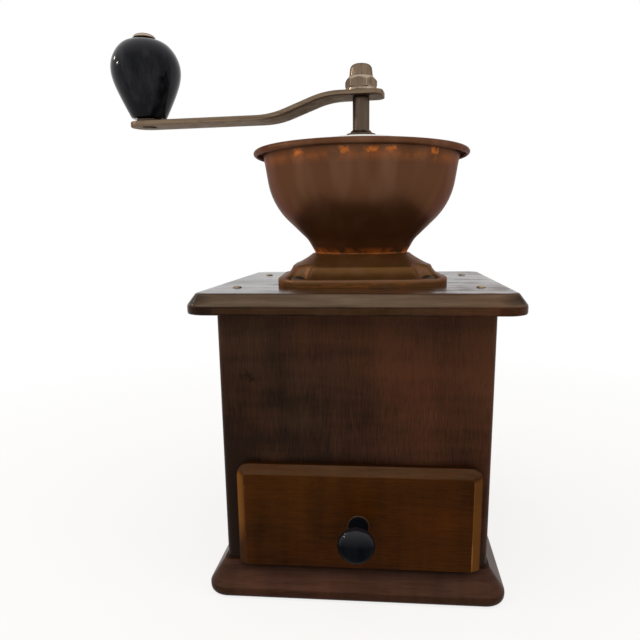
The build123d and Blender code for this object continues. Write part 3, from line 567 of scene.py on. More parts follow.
def browned_copper(name, mid, dark, pale, bright, low, high, glint_bands, patch, glints=()):
    """Copper sheet browned with age, half oxide and half metal: it stays brown where it reflects the dark.

    It is darker low down, on the bowl a painted reflection of the dark board beneath, and paler in soft
    streaks higher up, painted reflections of the lamps. It is paler where it is most rubbed, painted
    highlights on the flange's pocket rims and lip edge, and painted glints of bright copper, for lamps
    reflected there, lie in patches at given heights and at a few given places."""
    add, shader, place = begun(name)
    height = add("SeparateXYZ", (place,), "Z")

    def noise(across, along_height, detail, offset):
        return grained(add, place, (across, across, along_height), detail, 0.55, [offset] * 3)

    clouds = noise(22, 30, 4.0, 0.0)
    stripes = noise(9, 140, 1.5, 4.0)
    rise = add("MapRange", (height, low * MM, high * MM))
    level = add("Math", (clouds, 0.5, rise), operation="MULTIPLY_ADD")
    # Painted reflections: pale upright streaks that grow towards the top
    streaks = add("MapRange", (stripes, 0.48, 0.72, 0, 0.4))
    coats = [(add("Math", (streaks, rise), operation="MULTIPLY"), pale)]
    patches = noise(*patch, 3.0, 8.0)
    # Painted glints in patches at those heights
    for bottom, top, least, most in glint_bands:
        off = add("Math", (height, (bottom + top) / 2 * MM), operation="SUBTRACT")
        off = add("Math", (off,), operation="ABSOLUTE")
        band = add("MapRange", (off, 0.0, (top - bottom) / 2 * MM, most, 0.0))
        spots = add("MapRange", (patches, least, least + 0.2))
        coats.append((add("Math", (band, spots), operation="MULTIPLY"), bright))
    # Painted glints at the given places, flattened in height
    if glints:
        mottle = noise(1.9, 1.9, 2.0, 6.0)
        flat = Vector((1.0, 1.0, 1.8))
        squat = add("Mapping", {"Vector": place, "Scale": flat})
    for glint in glints:
        away = add("VectorMath", (squat, flat * glint), "Value", operation="DISTANCE")
        near = add("Math", (mottle, -6 * MM, away), operation="MULTIPLY_ADD")
        coats.append((add("MapRange", (near, -2.9 * MM, 0.3 * MM, 1.0, 0.0)), bright))
    rubbed = add("Attribute", out="Fac", attribute_name="wear")
    # Paler where the rubbed value is high: painted highlights on the flange's pocket rims and lip edge
    coats.append((add("MapRange", (rubbed, 0.4, 1.0, 0, 0.6)), pale))
    plugged(shader, {
        "Base Color": coated(add, add("ValToRGB", (level,), stops=((0.3, dark), (1.0, mid))), coats),
        "Metallic": 0.62,
        "Specular IOR Level": 0.1,
        "Specular Tint": linear("b5977f"),
        "Roughness": add("MapRange", (stripes, 0.3, 0.7, 0.32, 0.42)),
        "Normal": add("Bump", {"Strength": 0.1, "Distance": 0.00008, "Height": noise(40, 0.7, 2.0, 2.0)}),
    })


def worn_steel(name, mid, dark, bright, gloss, turn=0.0, along="X"):
    """Steel handled for years: warm grey, scratched lengthwise, brown in spots, bright on its edges.

    High rubbed values also paint highlights there, and values below 0 paint shade.
    """
    add, shader, place = begun(name)
    drawn = add("Mapping", {"Vector": place, "Rotation": (0, 0, -turn)})
    scratches = grained(add, drawn, [30 if axis == along else 0.9 for axis in "XYZ"], 3.0, 0.55)
    spots = grained(add, place, [4] * 3, 5.0, 0.6)
    rubbed = add("Attribute", out="Fac", attribute_name="wear")
    # Values below 0 darken the steel like tarnish: painted shade under the pin's head, at its tail under the
    # arm and on the grip's washer; the slotted screws are darkened too
    darkening = add("MapRange", (rubbed, 0.0, -1.0))
    tarnish = add("MapRange", (spots, 0.6, 0.76, 0, 0.6))
    tarnish = add("Math", (tarnish, darkening), operation="MAXIMUM")
    # Bright edges: rubbed steel, and painted highlights on the nut's corners and chamfers, the pin's head
    # and the nails
    edge = add("Math", (rubbed, spots), operation="MULTIPLY")
    edge = add("MapRange", (edge, 0.35, 0.6, 0, 0.7))
    steel = add("ValToRGB", (scratches,), stops=((0.05, dark), (0.55, mid)))
    plugged(shader, {
        "Base Color": coated(add, steel, ((tarnish, dark), (edge, bright))),
        "Metallic": 0.9,
        "Specular Tint": linear("b2aba5"),
        "Roughness": add("MapRange", (spots, 0.3, 0.7, gloss, gloss + 0.16)),
        "Normal": add("Bump", {"Strength": 0.1, "Distance": 0.00006, "Height": scratches}),
    })


def oiled_iron(name, mid):
    """Cast iron as it leaves the sand mould, then oiled: dark, grainy and half dull."""
    add, shader, place = begun(name)
    grit = grained(add, place, [1.6] * 3, 5.0, 0.7)
    plugged(shader, {
        "Base Color": add("ValToRGB", (grit,), stops=((0.35, shaded(mid, 0.4)), (0.65, mid))),
        "Metallic": 0.9,
        "Roughness": add("MapRange", (grit, 0, 1, 0.42, 0.7)),
        "Normal": add("Bump", {"Strength": 0.4, "Distance": 0.00015, "Height": grit}),
    })


def black_lacquer(name, black, worn, sheen, smeared, painted_sheen_share):
    """Turned wood under black lacquer: deep gloss with rub marks, specks and thin worn places.

    A grey painted sheen lies on faces that look up, and the gloss is higher there and lower underneath, for
    the bright room reflected above. Below 0 the rubbed value paints shade in deep corners by taking both
    away."""
    add, shader, place = begun(name)
    smears = grained(add, place, (6, 6, 22), 5.0, 0.6)
    specks = grained(add, place, [1.5] * 3, 2.0)
    rubbed = add("Attribute", out="Fac", attribute_name="wear")
    thin = add("Math", (rubbed, smears), operation="MULTIPLY")
    thin = add("MapRange", (thin, 0.35, 0.6, 0, 0.9))
    up = add("SeparateXYZ", (add("TexCoord", out="Normal"),), "Z")
    dull = add("MapRange", (specks, 0.7, 0.8, 0, 0.3))
    # Grey over the black: rub marks along the smears, and a painted sheen on faces that look up
    for veil in ((smears, 0.46, 0.75, 0, smeared), (up, 0.25, 0.9, 0, painted_sheen_share)):
        dull = add("Math", (dull, add("MapRange", veil)), operation="MAXIMUM")
    # Painted shade: a rubbed value below 0 takes the grey and the gloss off, as on the knob's neck
    out_of_painted_shade = add("MapRange", (rubbed, -1.0, 0.0))
    dull = add("Math", (dull, out_of_painted_shade), operation="MULTIPLY")
    # Painted reflection: more gloss on faces that look up
    polish = add("MapRange", (up, 0.1, 0.9, *sheen))
    plugged(shader, {
        "Base Color": coated(add, black, ((dull, linear("393b43")), (thin, worn))),
        "Roughness": add("MapRange", (smears, 0.3, 0.75, 0.05, 0.26)),
        "Specular IOR Level": add("Math", (polish, out_of_painted_shade), operation="MULTIPLY"),
        "Normal": add("Bump", {"Strength": 0.08, "Distance": 0.0001, "Height": smears}),
    })


class MILL_OT_finishes(bpy.types.Operator):
    """Make the finishes of wood, copper, steel, iron and lacquer"""

    bl_idname = "mill.finishes"
    bl_label = "Finishes"

    def execute(self, context):
        scene = context.scene
        case, drawer = measured(scene.mill_case), measured(scene.mill_drawer)
        hopper, crank = measured(scene.mill_hopper), measured(scene.mill_crank)
        greys = case.dark_grey_stain, case.light_grey_stain
        woods = (case.dark_stain, case.light_stain), greys, case.worn_wood
        walls = lacquered_wood(
            "stained beech walls", woods, grain="Z", gloss=0.3, sheen=0.05, seed=0.0, lean=(1.5, 2.8, -0.25)
        )
        scuff = Vector((-44.5, cad("front_wall")[0].y, 99.5)) * MM
        scuffed(*walls, scuff, size=4.4)
        woods = (case.dark_board, case.light_board), greys, case.worn_wood
        lacquered_wood(
            "stained beech base", woods, grain="X", gloss=0.26, sheen=0.03, seed=3.0, painted_sheen=0.06,
            veil="a4766a"
        )
        lacquered_wood(
            "polished beech top", woods, grain="X", gloss=0.08, sheen=(0.004, 0.05), seed=6.0, painted_sheen=0.22,
            lean=(1.3, 0, 0)
        )
        golds = drawer.dark_golden_front, drawer.light_golden_front
        woods = (drawer.dark_front, drawer.light_front), golds, drawer.worn_front
        lacquered_wood(
            "stained beech drawer", woods, grain="X", gloss=0.24, sheen=0.03, seed=7.0, painted_sheen=0.065
        )
        bare_wood("planed beech", drawer.bare_wood)

        low, high = (corner.z for corner in cad("hopper_flange"))
        rim = cad("hopper_bowl")[1].z
        kept = hopper.pale_copper, hopper.bright_copper
        # Lowest and highest edge of a band of painted glints, how rare its patches are and how bright they
        # get
        under_rim, at_foot = (rim - 9.0, rim - 2.6, 0.34, 0.17), (high - 0.8, high + 3.4, 0.38, 0.7)
        at_lip = low - 1, low + 3.4, 0.5, 0.26
        glints = [Vector((*polar(hopper.mouth, radians(turn)), rim - 3.9)) * MM for turn in hopper.glints]
        tones = hopper.copper, hopper.dark_copper, *kept
        bowl = {"low": high - 10, "high": rim - 5, "glint_bands": (under_rim, at_foot), "patch": (5, 8)}
        browned_copper("browned spun copper", *tones, **bowl, glints=glints)
        tones = hopper.flange_copper, hopper.dark_flange_copper, *kept
        flange = {"low": low - 14, "high": high + 6, "glint_bands": (at_lip,), "patch": (11, 2.5)}
        browned_copper("browned pressed copper", *tones, **flange)

        dark, bright = crank.dark_steel, crank.bright_steel
        worn_steel("worn rolled steel", crank.steel, dark, bright, gloss=0.3, turn=crank.heading)
        worn_steel("turned steel", crank.nut, dark, bright, gloss=0.14, along="Z")
        worn_steel("oiled round steel", crank.round_steel, dark, crank.steel, gloss=0.26, along="Z")
        worn_steel("tinned strip", crank.tin, crank.dull_tin, crank.tin, gloss=0.22)
        worn_steel("dull screw steel", crank.steel, dark, bright, gloss=0.38)
        oiled_iron("oiled cast iron", crank.iron)
        tones = crank.black_lacquer, crank.rubbed_lacquer
        black_lacquer("black lacquered wood", *tones, sheen=(0.1, 0.14), smeared=0.5, painted_sheen_share=0.6)
        black_lacquer("black lacquered knob", *tones, sheen=(0.006, 0.34), smeared=0.12, painted_sheen_share=0.1)
        return {"FINISHED"}


class MILL_OT_boards(bpy.types.Operator):
    """Make the base board and the top board with their bevels and worn edges"""

    bl_idname = "mill.boards"
    bl_label = "Base and top boards"

    def execute(self, context):
        case = measured(context.scene.mill_case)
        high = cad("base_board")[1]
        edge, run, corner, inner = case.base_edge, case.base_bevel, case.base_corner, case.base_top_corner
        foot, inmost = case.foot_round, 40.0
        # Inset from the board's edge, height, corner radius and how worn it is, which below 0 paints shadow
        levels = [(inmost, 0.0, corner, 0.0), (foot, 0.0, corner - foot, 0.1)]
        for share in shares(6):
            inset = foot * (1 - sin(share * pi / 2))
            levels.append((inset, foot * (1 - cos(share * pi / 2)), corner - inset, 0.25 + 0.48 * share))
        # Painted shadow: the slope's upper part and the flat behind it carry values below 0, which darken
        # them
        slope = (-0.06, 0.3), (0.0, 0.6), (0.05, 0.5), (0.14, 0.2), (0.5, 0.0), (0.74, -0.3), (0.86, -0.9)
        for share, worn in slope:
            inset = 0.08 if share == 0 else max(0.0, share) * run
            radius = corner + max(0.0, share) * (inner - corner)
            levels.append((inset, edge + share * (high.z - edge), radius, worn))
        levels += [(0.975 * run, high.z - 0.12, inner, -1.0), (run + 0.5, high.z, inner, -1.0)]
        levels += [(run + 3, high.z, inner, 0.0), (inmost, high.z, inner, 0.0)]
        left, right = (end.x for end in cad("drawer_front"))
        rows = []
        for inset, z, radius, worn in levels:
            ring = rounded_ring(high.x - inset, high.y - inset, radius)
            # The painted shadow stays under the drawer's overhang, in front between the drawer's ends
            darkened = [left < point.x < right and point.y < 0 for point in ring]
            rows.append((lifted(ring, z), [worn if under else max(worn, 0.0) for under in darkened]))
        base = skinned("base_board_lacquered", rows, "stained beech base")
        seated(base, "case", "case_wood", "base_board")

        low, high = cad("top_board")
        edge, run, corner, inner = case.top_edge, case.top_bevel, case.top_corner, case.top_inner_corner
        levels = [(14.0, 0.0, corner, 0.0), (0.8, 0.0, corner - 0.8, 0.2), (0.22, 0.24, corner - 0.2, 0.6)]
        levels += [(0.0, 0.8, corner, 1.1), (0.0, 0.8 * edge, corner, 1.1)]
        tall = high.z - low.z
        for share, worn in ((0.0, 0.8), (0.07, 0.7), (0.2, 0.2), (0.5, 0.1), (0.8, 0.2), (0.94, 0.7)):
            inset = 0.07 if share == 0 else share * run
            levels.append((inset, edge + share * (tall - edge), corner + share * (inner - corner), worn))
        levels += [(1.1 * run, tall, inner, 0.7), (1.5 * run, tall, inner, 0.2), (3 * run, tall, inner, 0.0)]
        rows = []
        for inset, height, radius, worn in levels:
            ring = rounded_ring(high.x - inset, high.y - inset, radius, side_steps=32)
            darkening = 1.15 if height < tall else 0.0
            gaps = [high.x - inset - min(abs(point.x), abs(point.y)) for point in ring]
            darkened = [worn - darkening * max(0.0, 1 - gap / case.grimed_corner) for gap in gaps]
            rows.append((lifted(ring, low.z + height), darkened))
        hole = round_ring(case.throat, ring)
        rows = [(lifted(hole, low.z), 0.0), *rows, (lifted(hole, high.z), 0.0)]
        top = skinned("top_board_lacquered", rows, "polished beech top", loop=True)
        seated(top, "case", "case_wood", "top_board")
        return {"FINISHED"}


class MILL_OT_walls(bpy.types.Operator):
    """Make the four walls of the case, the front one with the drawer's opening"""

    bl_idname = "mill.walls"
    bl_label = "Walls"

    def execute(self, context):
        case = measured(context.scene.mill_case)
        soft = case.wall_round
        for name, side in (("front_wall", -1), ("back_wall", 1)):
            low, high = cad(name)
            inside, sill = high.x - case.wall, low.z + case.opening

            def outline(half):
                """Outline of the wall at that half width, with the opening in the front one."""
                corners, counts = [(-half, low.z)], [12]
                if side < 0:
                    corners += [(-inside, low.z), (-inside, sill), (inside, sill), (inside, low.z)]
                    counts = [2, 6, 14, 6, 2]
                corners += [(half, low.z), (half, high.z), (-half, high.z)]
                return spaced(corners, counts + [14, 16, 14])

            face = low.y if side < 0 else high.y
            flat = outline(high.x - soft)
            rows = [(stood_up(drawn_in(flat, 2.0), face), 0.0), (stood_up(flat, face), 0.1)]
            for share, worn in zip(shares(6), (0.2, 0.45, 0.62, 0.6, 0.4, 0.2)):
                ring = outline(high.x - soft * (1 - sin(share * pi / 2)))
                rows.append((stood_up(ring, face - side * soft * (1 - cos(share * pi / 2))), worn))
            rows.append((stood_up(outline(high.x), low.y + high.y - face), 0.15))
            seated(skinned(name + "_lacquered", rows, "stained beech walls"), "case", "case_wood", name)
        for name in ("left_wall", "right_wall"):
            low, high = cad(name)
            half = (high - low) / 2
            flat = rounded_ring(half.x, half.y, 0.35, arc_steps=3, side_steps=6)
            rows = [(lifted(flat, z, low + half), 0.1) for z in (low.z, high.z)]
            seated(skinned(name + "_lacquered", rows, "stained beech walls"), "case", "case_wood", name)
        return {"FINISHED"}


class MILL_OT_drawer(bpy.types.Operator):
    """Make the drawer's bevelled front, and finish the boards of its box"""

    bl_idname = "mill.drawer"
    bl_label = "Drawer"

    def execute(self, context):
        drawer = measured(context.scene.mill_drawer)
        low, high = cad("drawer_front")
        middle, half = (low.x + high.x) / 2, (high.x - low.x) / 2
        bevel, corner, panel = drawer.lip_bevel, drawer.lip_corner, drawer.panel_corner

        def outline(width, foot, head, radius):
            """Upright outline with its two upper corners rounded."""
            arcs = arc((middle + width - radius, head - radius), radius, 0, 10)
            arcs += arc((middle - width + radius, head - radius), radius, 1, 10)
            corners = [(middle - width, foot), (middle + width, foot), *arcs]
            return spaced(corners, [18, 8] + [1] * 10 + [16] + [1] * 10 + [8])

        back = high.y - drawer.core_depth
        foot = low.z + drawer.core_foot
        head = foot + drawer.core_height
        wide = half - drawer.core_side
        core = outline(wide, foot, head, 0.4)
        rows = [(stood_up(outline(wide - 3, foot + 3, head - 3, 0.4), high.y), 0.0)]
        rows += [(stood_up(core, high.y), 0.2), (stood_up(core, back), 0.0)]
        lip = back - drawer.lip_edge
        fall = lip - low.y
        # Share of the bevel, depth, and how worn the top, the left side and the right side are: below 0 it
        # paints shade on the lip's top edge, and above 1 the light on the side bevels
        for share, depth, worn, left, right in (
            (0.0, back, -0.8, 0.1, -0.2),
            (0.0, back - 0.8 * drawer.lip_edge, -0.8, 0.3, -0.1),
            (0.012, lip, 0.3, 0.9, 0.5),
            (0.09, lip - 0.09 * fall, 0.3, 1.3, 1.12),
            (0.2, lip - 0.2 * fall, 0.2, 1.32, 1.15),
            (0.55, lip - 0.55 * fall, 0.2, 1.24, 1.17),
            (0.85, lip - 0.85 * fall, 0.2, 1.12, 1.16),
            (0.98, lip - 0.965 * fall, 0.6, 0.9, 1.3),
            (1.08, low.y, 0.6, 0.6, 0.6),
            (1.5, low.y, 0.0, 0.0, 0.0),
        ):
            width = half - share * bevel
            radius = corner + min(share, 1) * (panel - corner)
            ring = outline(width, low.z + 0.02 * share, high.z - share * bevel, radius)
            rubbed = []
            for point in ring:
                side = min(1.0, max(0.0, (abs(point.x - middle) - width + radius) / radius))
                level = (point.y - low.z) / (high.z - low.z)
                # Painted light: the left bevel is lit more towards its top, and the right bevel gets a
                # painted highlight line low on its inner edge
                if point.x > middle:
                    paler = right + (0.4 if 0.9 < share < 1 and 0.03 < level < 0.3 else 0.0)
                else:
                    paler = worn + (left - worn) * min(1.0, 0.5 + 1.2 * level)
                rubbed.append(worn + side**2 * (paler - worn))
            rows.append((stood_up(ring, depth), rubbed))
        for amount in (1.5, 6.0):
            inset = 1.5 * bevel + amount
            rows.append((stood_up(outline(half - inset, low.z + amount, high.z - inset, panel), low.y), 0.0))
        front = skinned("drawer_front_lacquered", rows, "stained beech drawer", sharp=28)
        seated(front, "drawer", "drawer_wood", "drawer_front")
        refinished("planed beech", "drawer_left_side", "drawer_right_side", "drawer_back", "drawer_bottom")
        refinished("dull screw steel", "drawer_nails", "knob_screw")
        return {"FINISHED"}


class MILL_OT_knob(bpy.types.Operator):
    """Make the drawer's ball knob with its neck and collar"""

    bl_idname = "mill.knob"
    bl_label = "Drawer knob"

    def execute(self, context):
        drawer = measured(context.scene.mill_drawer)
        low, high = cad("drawer_knob")
        ball, deep, neck, collar = drawer.ball, drawer.ball_depth, drawer.neck, drawer.collar
        reach = high.y - low.y - deep
        start = pi - asin(neck / ball)
        profile = [(0.0, 0.0, 0.0), (collar - 0.3, 0.0, 0.6), (collar, 0.2, 1.8), (collar, 0.6, 2.0)]
        # Painted shade: the neck's values below 0 keep it deep black, without grey or gloss
        profile += [(collar - 0.15, 0.85, 1.8), (neck + 0.1, 1.2, -0.6)]
        rise = reach + deep * cos(start) - 1.5
        for share in shares(8):
            profile.append((neck - 0.35 * sin(pi * share), 1.4 + share * rise, -1.0))
        for share in reversed(shares(32)):
            profile.append((ball * sin(start * share), reach + deep * cos(start * share), 0.25))
        profile.append((0.0, reach + deep, 0.25))
        middle = (low + high) / 2
        place = Matrix.Translation((middle.x, high.y, middle.z)) @ Matrix.Rotation(pi / 2, 4, "X")
        knob = turned("drawer_knob_lacquered", profile, "black lacquered knob", place, steps=72, sharp=60)
        seated(knob, "drawer", "black_lacquer", "drawer_knob")
        return {"FINISHED"}


def screw_places(hopper):
    """Where the flange's screws stand, one at each corner."""
    turns = [hopper.flange_turn + (quarter + 0.5) * pi / 2 for quarter in range(4)]
    return [polar(hopper.screw_circle, turn) for turn in turns]


class MILL_OT_flange(bpy.types.Operator):
    """Make the pressed flange under the bowl, with pockets for its screws"""

    bl_idname = "mill.flange"
    bl_label = "Hopper flange"

    def execute(self, context):
        hopper = measured(context.scene.mill_hopper)
        low, high = cad("hopper_flange")
        bore = hopper.spigot + hopper.sheet + CLEARANCE
        neck = bore + hopper.flange_neck
        turn, first = hopper.flange_turn, hopper.flange_corner
        half = first + (high.x - first) / (cos(turn) + sin(turn))
        depth = half - neck
        # Inset and height along the pressing: from the lip to the ridge, then over it and up to the neck
        ridge = Vector((6.4, 8.1))
        line = smooth_line([(0.9, 3.35), (3.4, 4.2), (5.2, 5.9), ridge], (1, 0.1), (0.3, 1), 5)
        upper = [ridge + Vector((0.3, 0.32)), (11.3, 10.7), (depth, high.z - low.z)]
        line += smooth_line(upper, (1, 0.35), (1, 0.85), 8)
        # The lip's high rubbed values paint a highlight along its top edge
        steps = [(0.0, 0.0, 0.4), (0.0, 1.4, 0.3), (0.0, 2.5, 0.8), (0.14, 3.0, 1.0), (0.42, 3.26, 1.0)]
        steps += [(*point, 0.1) for point in line]
        floor = hopper.dimple_floor
        flat_edge, soft_edge, highlight_height = 0.7, 3.6, 4.0
        rows = []
        for inset, height, worn in steps:
            corner = first + min(1.0, inset / depth) * (neck - 1 - first)
            ring = rounded_ring(half - inset, half - inset, corner, arc_steps=40, side_steps=10)
            ring = [Matrix.Rotation(turn, 2) @ point for point in ring]
            wall = max(0.0, height - floor)
            points, rubbed = [], []
            for point in ring:
                near = min((point - centre).length for centre in screw_places(hopper))
                rim = min(1.0, max(0.0, (near - hopper.dimple + flat_edge) / soft_edge))
                rim = rim * rim * (3 - 2 * rim)
                points.append((*point, low.z + min(height, floor + rim * wall)))
                # Painted highlight, brightest two thirds of the way up the pocket's wall, where this reaches
                # 1
                rim_highlight = 6.75 * rim * rim * (1 - rim)
                rubbed.append(max(worn, rim_highlight * min(1.0, wall / highlight_height)))
            rows.append((points, rubbed))
        mouth = round_ring(bore, ring)
        rows = [(lifted(mouth, low.z), 0.0), *rows, (lifted(mouth, high.z), 0.0)]
        flange = skinned("hopper_flange_pressed", rows, "browned pressed copper", loop=True, sharp=50)
        seated(flange, "case", "copper_sheet", "hopper_flange")
        return {"FINISHED"}


class MILL_OT_bowl(bpy.types.Operator):
    """Make the spun copper bowl with its rolled rim"""

    bl_idname = "mill.bowl"
    bl_label = "Hopper bowl"

    def execute(self, context):
        hopper = measured(context.scene.mill_hopper)
        foot, low = cad("hopper_flange")[1].z, cad("hopper_bowl")[0].z
        rim = Vector((hopper.mouth + 1.0, foot + hopper.rim_height))
        wall = [(hopper.spigot, low), (hopper.spigot, foot + 1.0)]
        wall += [(hopper.spigot + hopper.neck_flare, foot + hopper.neck_height)]
        wall += [(hopper.belly, foot + hopper.belly_height), (hopper.mouth, foot + hopper.mouth_height), rim]
        # Radii at the foot, the neck, the belly and the mouth
        bends = 2.0, 12.0, 30.0, 8.0
        inside = filleted(wall, bends, spacing=1.6, arc_step=radians(4))
        for roll in (radians(240) * share for share in shares(36)):
            inside.append(rim + Vector((hopper.bead * (1 - cos(roll)), hopper.bead_rise * sin(roll))))
        outside = [point + hopper.sheet * Vector((along.y, -along.x)) for point, along in directed(inside)]
        profile = [(*point, 0.0) for point in inside + outside[::-1]]
        bowl = turned("hopper_bowl_spun", profile, "browned spun copper", steps=192, loop=True, sharp=60)
        seated(bowl, "case", "copper_sheet", "hopper_bowl")
        return {"FINISHED"}


class MILL_OT_bearing(bpy.types.Operator):
    """Make the flared bush on the bridge, and finish the bridge under it"""

    bl_idname = "mill.bearing"
    bl_label = "Bridge and bush"

    def execute(self, context):
        crank = measured(context.scene.mill_crank)
        low, high = cad("bridge_bush")
        seat = cad("hopper_bridge")[1].z
        bore, spigot, wide = crank.shaft + CLEARANCE, crank.bush_spigot, crank.bush_flare
        profile = [(bore, low.z), (spigot - 0.3, low.z), (spigot, low.z + 0.3), (spigot, seat)]
        profile += [(wide - 0.1, seat), (wide, seat + 0.15), (wide, seat + 1.0)]
        draw, rise = wide - 0.1 - bore - 0.55, high.z - seat - 1.1
        for share in (0, *shares(10)):
            profile.append((wide - 0.1 - draw * share**0.6, seat + 1.1 + rise * share**1.5))
        profile = [(*spot, 0.2) for spot in [*profile, (bore, high.z)]]
        bush = turned("bridge_bush_turned", profile, "oiled round steel", steps=80, loop=True, sharp=40)
        seated(bush, "case", "steel", "bridge_bush")
        refinished("tinned strip", "hopper_bridge")
        return {"FINISHED"}


class MILL_OT_shaft(bpy.types.Operator):
    """Make the drive shaft with its stud under the nut"""

    bl_idname = "mill.shaft"
    bl_label = "Drive shaft"

    def execute(self, context):
        crank = measured(context.scene.mill_crank)
        low, high = cad("drive_shaft")
        arm = cad("crank_arm")[1].z - crank.arm_thickness
        foot, radius, stud = low.z + 0.6, crank.shaft, crank.stud
        profile = [(0.0, low.z, 0.0), (radius - 0.6, low.z, 0.4)]
        profile += [(radius, foot + (arm - 0.3 - foot) * step / 24, 0.15) for step in range(25)]
        profile += [(radius - 0.25, arm, 0.5), (stud, arm, 0.0), (stud, high.z - 0.5, 0.0)]
        profile += [(stud - 0.45, high.z, 0.0), (0.0, high.z, 0.0)]
        shaft = turned("drive_shaft_turned", profile, "oiled round steel", steps=64)
        seated(shaft, "crank", "steel", "drive_shaft")
        return {"FINISHED"}


class MILL_OT_arm(bpy.types.Operator):
    """Make the crank's arm: a bent strip with rounded ends and softened edges"""

    bl_idname = "mill.arm"
    bl_label = "Crank arm"

    def execute(self, context):
        crank = measured(context.scene.mill_crank)
        low, high = cad("crank_arm")
        thick, wide, corner = crank.arm_thickness, crank.arm_width / 2, crank.eye_corner
        upper, start, tip = high.z - thick, crank.joggle_start, crank.reach + crank.tip
        line = [(-crank.eye, upper), (start, upper), (start + crank.joggle_run, low.z), (tip, low.z)]
        line = filleted(line, (crank.upper_bend, crank.lower_bend), spacing=4.0, arc_step=radians(3))
        first, last = corner - crank.eye, tip - wide
        # The rounded ends stop just short of a point
        bends = [radians(86) * share for share in shares(12)]
        stations = [Vector((first - corner * sin(bend), upper)) for bend in reversed(bends)]
        stations += [point for point in line if first <= point.x <= last]
        stations += [Vector((last + wide * sin(bend), low.z)) for bend in bends]
        rows = []
        for point, along in directed(stations):
            half = wide
            if point.x < first:
                half = wide - corner + sqrt(max(0.2, corner**2 - (first - point.x) ** 2))
            if point.x > last:
                half = sqrt(max(0.2, wide**2 - (point.x - last) ** 2))
            soft = min(0.55, 0.5 * half, 0.45 * thick)
            ring, rubbed = [], []
            for flat in rounded_ring(half, thick / 2, soft, arc_steps=4, side_steps=5):
                spot = point + Vector((-along.y, along.x)) * (flat.y + thick / 2)
                ring.append((*(Matrix.Rotation(crank.heading, 2) @ Vector((spot.x, flat.x))), spot.y))
                rubbed.append(0.55 if abs(flat.x) > half - soft else 0.15)
            rows.append((ring, rubbed))
        arm = skinned("crank_arm_bent", rows, "worn rolled steel", sharp=40)
        seated(arm, "crank", "steel", "crank_arm")
        return {"FINISHED"}


def washer(name, steel, bore, soft, wear, place=Matrix(), steps=80):
    """A flat washer in place of its CAD node, with how worn its face, softened edge and side are, painted
    light and shade included.
    """
    low, high = cad(name)
    wide = (high.x - low.x) / 2
    face, edge, side = wear
    profile = [(bore, low.z, face), (wide - soft, low.z, edge), (wide, low.z + soft, side)]
    profile += [(wide, high.z - soft, side), (wide - soft, high.z, edge), (bore, high.z, face)]
    seated(turned(name + "_pressed", profile, steel, place, steps, loop=True), "crank", "steel", name)


class MILL_OT_nut(bpy.types.Operator):
    """Make the cap nut and the washer under it"""

    bl_idname = "mill.nut"
    bl_label = "Cap nut and washer"

    def execute(self, context):
        crank = measured(context.scene.mill_crank)
        low, high = cad("cap_nut")
        apothem, dome, soft, cone = crank.nut_flats / 2, crank.dome, crank.dome_round, crank.chamfer
        tip = 2 * apothem / sqrt(3)
        cut = (tip - apothem) / 2
        shoulder = low.z + crank.hexagon
        bore, steps = 3.0, 144
        turns = [2 * pi * step / steps for step in range(steps)]
        flats = [apothem / cos(turn % (pi / 3) - pi / 6) for turn in turns]
        # Painted highlights: the hexagon's upright corners get higher rubbed values, which paint them bright
        corners = [1.4 if step % (steps // 6) == 0 else 0.2 for step in range(steps)]

        def hexagon(limit, z):
            """Ring of the hexagon at that height, its corners cut back to the limit."""
            return [(*polar(min(flat, limit), crank.nut_turn + turn), z) for flat, turn in zip(flats, turns)]

        def circle(radius, z):
            return [(*polar(radius, crank.nut_turn + turn), z) for turn in turns]

        # The lower chamfer's high rubbed value paints a highlight line under the hexagon
        rows = [(circle(bore, low.z), 0.0), (hexagon(tip - 1.6 * cut, low.z), 0.5)]
        rows.append((hexagon(tip - 0.6 * cut, low.z + 0.5 * cut), 0.9))
        tall = crank.hexagon - cone
        rows += [(hexagon(tip, low.z + share * tall), corners) for share in (0.4, 0.7, 1.0)]
        crown = dome + 0.45
        for share in shares(12):
            limit = crown + (tip - crown) * (1 - share)
            # Painted highlight: the cone's cut across each corner is given 2, which paints it bright
            rubbed = [2.0 if limit < flat else 0.2 for flat in flats]
            rows.append((hexagon(limit, shoulder - cone * (1 - share)), rubbed))
        root = shoulder + 0.6
        rows += [(circle(dome + 0.32, shoulder + 0.1), 0.3), (circle(dome + 0.25, root), 0.4)]
        for share in shares(4):
            rows.append((circle(dome + 0.25 * (1 - share), root + (high.z - soft - root) * share), 0.35))
        for bend in (share * pi / 2 for share in shares(9)):
            rows.append((circle(dome - soft * (1 - cos(bend)), high.z - soft * (1 - sin(bend))), 0.5))
        rows += [(circle(dome - soft - 1.2, high.z), 0.5), ([(0.0, 0.0, high.z)], 0.4)]
        seated(skinned("cap_nut_turned", rows, "turned steel", sharp=22), "crank", "steel", "cap_nut")
        washer("crank_washer", "turned steel", 2.9, soft=0.25, wear=(0.2, 0.8, 1.0))
        return {"FINISHED"}


